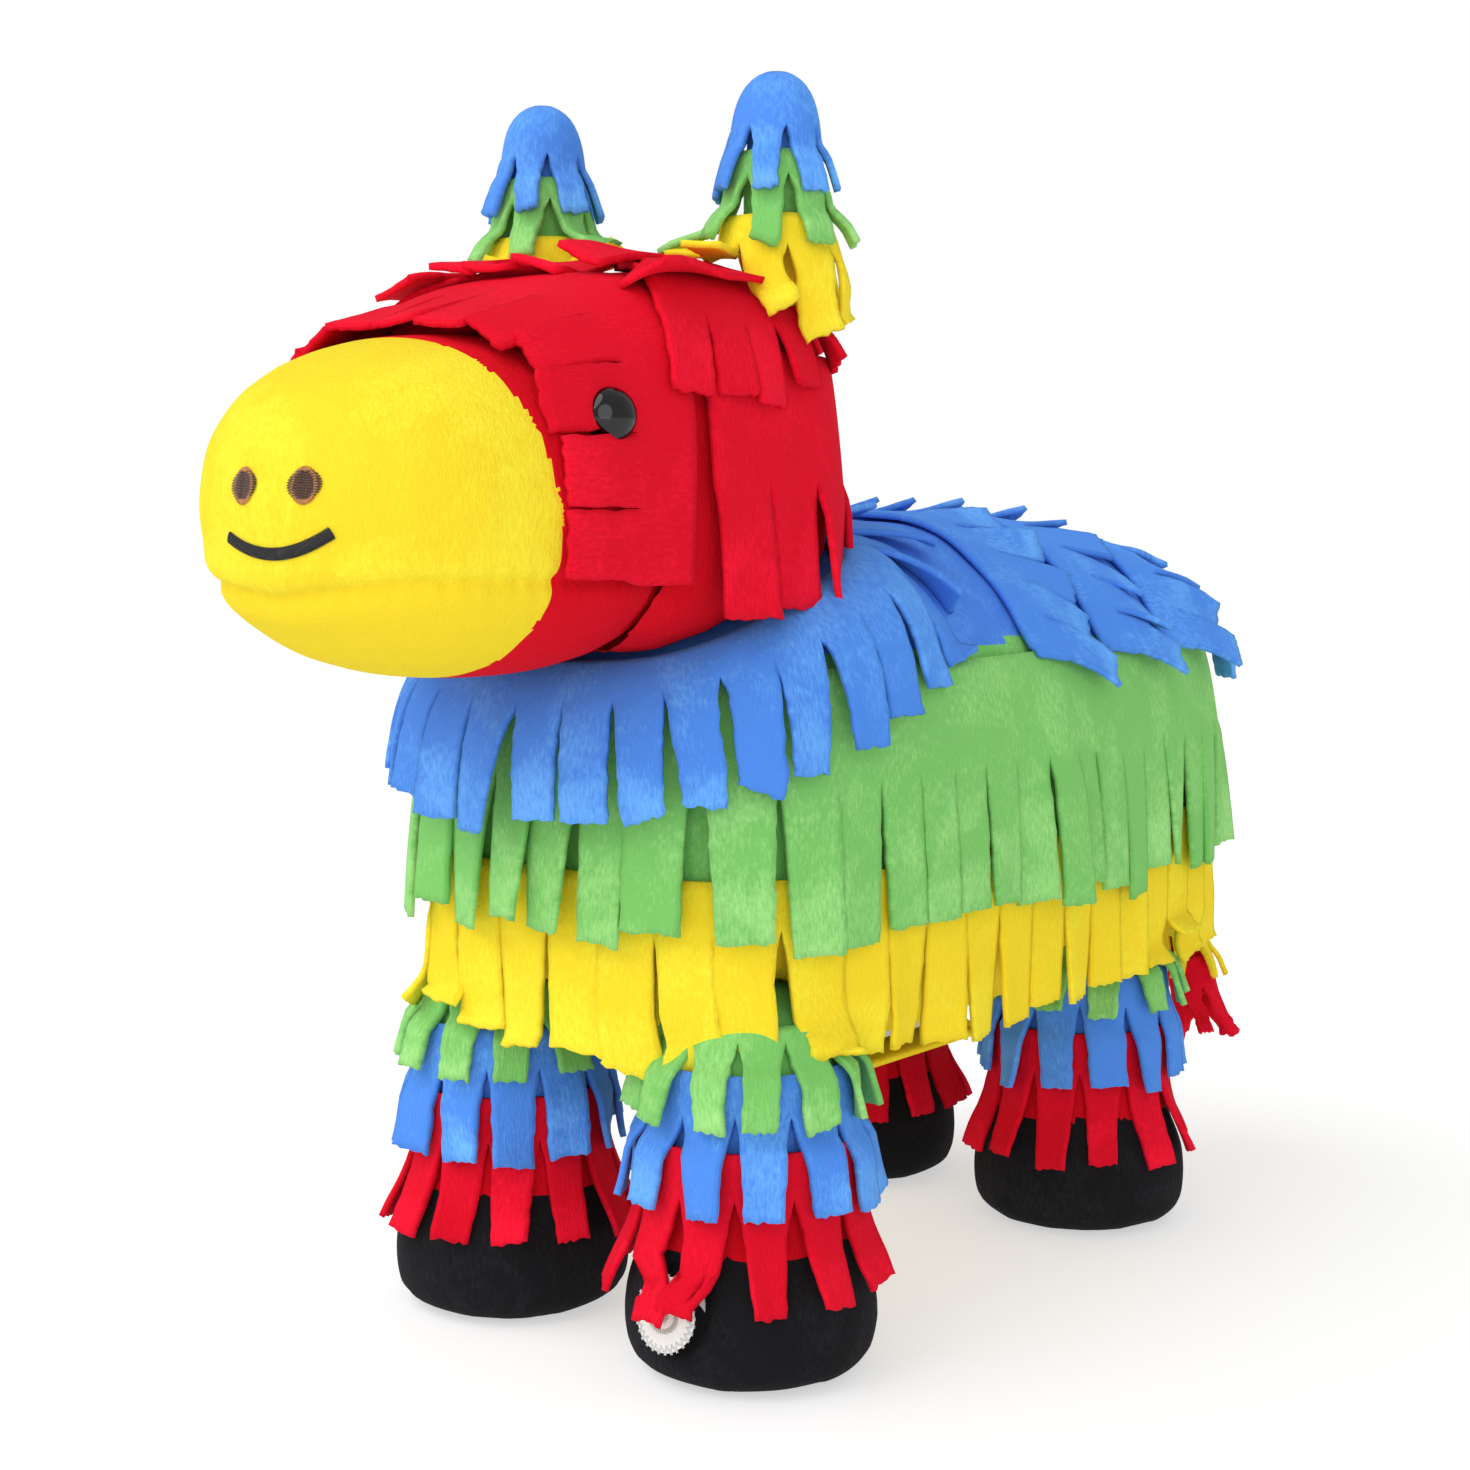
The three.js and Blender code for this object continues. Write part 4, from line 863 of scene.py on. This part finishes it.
eye_plastic = gloss("black_polished_abs", "#020203", 0.09, depth=0.002)
for side, label in ((1, "left"), (-1, "right")):
    low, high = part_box(f"eye_{label}")
    look = Vector((side * math.cos(0.35), -math.sin(0.35), 0.12)).normalized()
    corners = [v.co for v in frame["nodes"][f"eye_{label}"].data.vertices]
    crown = max(corners, key=lambda c: c.dot(look))
    bpy.ops.object.select_all(action="DESELECT")
    bpy.ops.mesh.primitive_uv_sphere_add(segments=48, ring_count=32, radius=5.6 * MM)
    eye = bpy.context.object
    eye.name = f"eye_{label}_dome"
    eye.scale = (1, 1, 0.78)
    eye.rotation_euler = look.to_track_quat("Z", "Y").to_euler()
    eye.location = crown + look * (1.4 - 5.6 * 0.78) * MM
    bpy.ops.object.transform_apply(location=True, rotation=True, scale=True)
    eye.data.materials.append(eye_plastic)
    bpy.ops.object.shade_smooth()
    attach(eye, "head")
    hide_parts(f"eye_{label}")

# ---- Fringe on the head ----
# A red band lies forward over the muzzle's edge; a crown panel covers the top and hangs behind the
# eyes; under it a longer band hangs down the nape; short strips stand up over the brow.


def forwards(turn):
    return (0, -1, 0)


def outwards(turn):
    return (math.sin(turn), -math.cos(turn), 0)


head_middle = (head_low + head_high) / 2
face_hull = hull_of([head, muzzle])
FACE_TURN, BROW_TURN = math.radians(118), math.radians(48)  # how far round each reaches from the top
face = comb("face_fringe", "head", face_hull, [head, muzzle],
            around(face_hull, (0, -0.094, 0.1995), (1, 0, 0), (0, 0, 1), 13, (-FACE_TURN, FACE_TURN)),
            forwards, 36, 0.45, RED, ring=False, longer=lambda turn: 8 * max(0, math.cos(turn / 2)) ** 3,
            cling=0.8, lift=0.5, flare=(0.3, 2.0), gap=(0.01, 0.09), sway=0.9, twist=0.1, curl=0.3, seed=51)
comb("nape_fringe", "head", face_skin, [],
     around(face_skin, (0, head_middle.y, 0.224), (1, 0, 0), (0, -1, 0), 11,
            (math.radians(66), math.radians(294))),
     down, 54, 0.5, RED, ring=False, droop=1.5, lift=0.9, flare=(0.5, 3), gap=(0.02, 0.18), sway=1.5,
     twist=0.2, seed=52)
crown_panel = comb(
    "temple_fringe", "head", face_skin, None,
    around(face_skin, (0, head_middle.y, head_high.z - 1.2 * MM), (1, 0, 0), (0, -1, 0), 14,
           (math.radians(52), math.radians(308)), reach=0.1),
    outwards, 60, 0.71, RED, ring=False, longer=lambda turn: -6 * (1 - math.cos(turn)), droop=4.0, lift=2.6,
    flare=(0.5, 2.5), gap=(0.0, 0.07), sway=0.8, twist=0.12, rows=26, seed=53)
comb("brow_fringe", "head", face_skin, [face, crown_panel],
     around(face_skin, (0, -0.066, 0.1995), (1, 0, 0), (0, 0, 1), 6, (-BROW_TURN, BROW_TURN)),
     forwards, 34, 0.4, RED, ring=False, droop=0.5, lift=0.8, flare=(1.5, 4), gap=(0.02, 0.15), sway=2,
     twist=0.3, curl=0.9, seed=54)

# ---- Ears ----
# Two stuffed cones stand on the crown, in the colours of the bands over them. A blue cap with a cut
# edge covers the tip, a green band hangs under it, and a yellow one is sewn where ear and head meet.
YELLOW_TOP, GREEN_TOP = 254, 268  # heights that the lower two bands are sewn at, in millimetres
GREEN_FROM, BLUE_FROM = 0.250, 0.266  # heights that the stuffed cone changes colour at
for label, side, seed in (("left", 1, 60), ("right", -1, 70)):
    ear = stuffed(f"ear_{label}_stuffed", [f"ear_{label}"], f"ear_{label}",
                  [yellow_plush, green_plush, blue_plush], voxel=2.6, start=0.0, most=1.6)
    paint_faces(ear, 1, lambda c: c[:, 2] > GREEN_FROM)
    paint_faces(ear, 2, lambda c: c[:, 2] > BLUE_FROM)
    low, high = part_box(f"ear_{label}")
    axis = Vector(((low.x + high.x) / 2, (low.y + high.y) / 2, 0))
    ear_skin = surface_of([ear])
    root_skin = blend_of([ear, head], 3.0, 14)

    def ring_at(height, skin=ear_skin, axis=axis):
        return around(skin, axis + Vector((0, 0, height * MM)), (1, 0, 0), (0, -1, 0), 7, reach=0.03)
    yellow = comb(f"ear_{label}_fringe_yellow", "head", root_skin, [ear, head, crown_panel],
                  ring_at(YELLOW_TOP), lambda turn: Vector(outwards(turn)) * 0.5 - Vector((0, 0, 1)),
                  23, 0.25, YELLOW, droop=1.5, lift=3.0, flare=(2, 5), gap=(0.02, 0.2), sway=1.5, twist=0.3,
                  across=7, rows=14, seed=seed + 1)
    green = comb(f"ear_{label}_fringe_green", f"ear_{label}", ear_skin, [yellow], ring_at(GREEN_TOP),
                 lambda turn: Vector(outwards(turn)) * 0.4 - Vector((0, 0, 1)), 20, 0.25, GREEN,
                 droop=1.2, lift=0.9, flare=(1.5, 3), gap=(0.02, 0.16), sway=1.0, twist=0.25, across=7,
                 rows=12, seed=seed + 2)
    tip = coordinates(ear)[:, 2].max() / MM - 0.35
    comb(f"ear_{label}_fringe_blue", f"ear_{label}", ear_skin, [green], ring_at(tip),
         lambda turn: Vector(outwards(turn)), 28, 0.5, BLUE,
         droop=6.0, lift=0.9, flare=(0.3, 1.6), gap=(0.02, 0.14), sway=0.8, twist=0.2, across=7, rows=18,
         seed=seed + 3)

# ---- Tail ----
# A stuffed red cord of plush hangs from the rump, leaning to the left, with a yellow and a red tier
# of fringe at its end.
tail = stuffed("tail_stuffed", ["tail_core"], "tail", [red_body_plush], voxel=2.4, start=0.3, most=0.8)
tail_skin = surface_of([tail])
hinge = Vector(next(j for j in frame["joints"] if j["name"] == "tail_swing")["pos_m"])
lean = 0.27
tail_way = Vector((math.sin(lean), 0, -math.cos(lean)))
tail_side = Vector((math.cos(lean), 0, math.sin(lean)))
tail_tiers = []
for colour, materials, reach, seed in (("red", RED, 102, 81), ("yellow", YELLOW, 82, 82)):
    starts = around(tail_skin, hinge + tail_way * reach * MM, tail_side, (0, -1, 0), 7, reach=0.03)
    tail_tiers.append(comb(
        f"tail_fringe_{colour}", "tail", tail_skin, tail_tiers, starts,
        lambda turn: tail_way, 27, 0.3, materials, droop=0.6, lift=0.7, flare=(1.5, 4), gap=(0.02, 0.18),
        sway=1.5, twist=0.3, across=7, rows=12, seed=seed))

# ---- Belly flap ----
# A yellow plush flap closes the battery pocket. It is sewn on along its rear edge, hemmed with a
# machine stitch on the other three, and lies flat under the belly.
flap_low, flap_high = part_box("belly_flap")
flap_middle, flap_size = (flap_low + flap_high) / 2, flap_high - flap_low
bpy.ops.object.select_all(action="DESELECT")
bpy.ops.mesh.primitive_grid_add(x_subdivisions=44, y_subdivisions=42, size=1)
flap = bpy.context.object
flap.name = "belly_flap_cloth"
co = coordinates(flap)
share = np.abs(co[:, :2] * 2)
corner = np.maximum(0, share - 0.82).prod(1) * 9
rounded = co[:, :2] * (1 - corner[:, None])
edge_distance = 1 - share.max(1)
pillow = 0.5 * np.exp(-((edge_distance - 0.16) / 0.08) ** 2)
flat = np.stack([flap_middle.x + rounded[:, 0] * flap_size.x, flap_middle.y + rounded[:, 1] * flap_size.y,
                 flap_high.z - 0.2 * MM - (pillow + 0.15) * MM], 1)
move_to(flap, flat)
turn_over(flap)
apply(flap, "SOLIDIFY", thickness=FABRIC, offset=1, material_offset_rim=1)
flap.data.materials.append(yellow_plush)
flap.data.materials.append(YELLOW[1])
bpy.ops.object.shade_smooth()
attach(flap, "belly_flap")
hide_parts("belly_flap")
hem = []
for k in range(60):
    part = k / 59 * 3
    inset = 2.5 * MM
    x0, x1 = flap_low.x + inset, flap_high.x - inset
    y0, y1 = flap_low.y + inset, flap_high.y - inset
    if part < 1:
        place, way = Vector((x0, y1 + (y0 - y1) * part, 0)), Vector((0, 1, 0))
    elif part < 2:
        place, way = Vector((x0 + (x1 - x0) * (part - 1), y0, 0)), Vector((1, 0, 0))
    else:
        place, way = Vector((x1, y0 + (y1 - y0) * (part - 2), 0)), Vector((0, 1, 0))
    place.z = flap_high.z - 0.35 * MM - FABRIC - 0.1 * MM
    hem.append(frame_at(place, way, (0, 0, -1), (2.3 * MM, 0.5 * MM, 0.5 * MM)))
hem_piece = scattered("belly_flap_hem_stitches", thread_template(), hem,
                      satin("yellow_thread", "#f0d020", "#c8a008"), "belly_flap")

# ---- Sound module and switch ----
# Bought-in parts that the stuffing hides: moulded cases, a screwed battery door, two cells, a board
# with a speaker, and a two-core lead to the hoof's switch. Their shapes are the frame's own.


def board_laminate():
    """Green solder mask over copper tracks, which stand up a little and look lighter."""
    material, tree = empty_material("fr4_solder_mask")
    place = in_millimetres(tree)
    tracks = add(tree, "TexBrick", Vector=place.outputs[0], Scale=0.4, Mortar_Size=0.06, Brick_Width=1.3,
                 Row_Height=0.5, Color1=linear("#1d5a30"), Color2=linear("#226a38"), Mortar=linear("#4f9a55"))
    bump = add(tree, "Bump", Strength=0.4, Distance=0.05 * MM, Height=tracks.outputs["Fac"])
    finish_material(tree, add(tree, "BsdfPrincipled", Base_Color=tracks.outputs["Color"], Roughness=0.35,
                              Normal=bump.outputs[0]))
    return material


def plated_steel():
    """Zinc-plated steel, turned: a bright metal with fine rings."""
    material, tree = empty_material("zinc_plated_steel")
    place = in_millimetres(tree)
    rings = add(tree, "TexNoise", Vector=place.outputs[0], Scale=4.0, Detail=2.0)
    rough = add(tree, "MapRange", Value=rings.outputs[0], To_Min=0.22, To_Max=0.45)
    bump = add(tree, "Bump", Strength=0.3, Distance=0.02 * MM, Height=rings.outputs[0])
    finish_material(tree, add(tree, "BsdfPrincipled", Base_Color=linear("#c4c6c8"), Metallic=1.0,
                              Roughness=rough.outputs[0], Normal=bump.outputs[0]))
    return material


pale_abs = gloss("pale_grained_abs", "#e4e4df", 0.5)
finishes = {
    "sound_case": pale_abs, "battery_door": pale_abs, "door_screw": plated_steel(),
    "battery_1": gloss("green_shrink_sleeve", "#2f7a46", 0.3),
    "battery_2": gloss("green_shrink_sleeve_2", "#2f7a46", 0.3),
    "circuit_board": board_laminate(),
    "speaker": gloss("black_pressed_paper_cone", "#2b2c30", 0.7, grain=0.9, depth=0.2),
    "power_slider": gloss("black_pom", "#222326", 0.4),
    "switch_lead": gloss("red_pvc_sleeve", "#9c2424", 0.45),
    "press_switch_base": gloss("grey_abs", "#3a3d42", 0.5),
    "press_switch_cap": gloss("pale_pom", "#d8d8d4", 0.42),
    "eye_washer_left": gloss("natural_nylon", "#d8d6cc", 0.5),
    "eye_washer_right": gloss("natural_nylon_2", "#d8d6cc", 0.5),
}
for node, material in finishes.items():
    piece = frame["nodes"][node]
    piece.data.materials.clear()
    piece.data.materials.append(material)
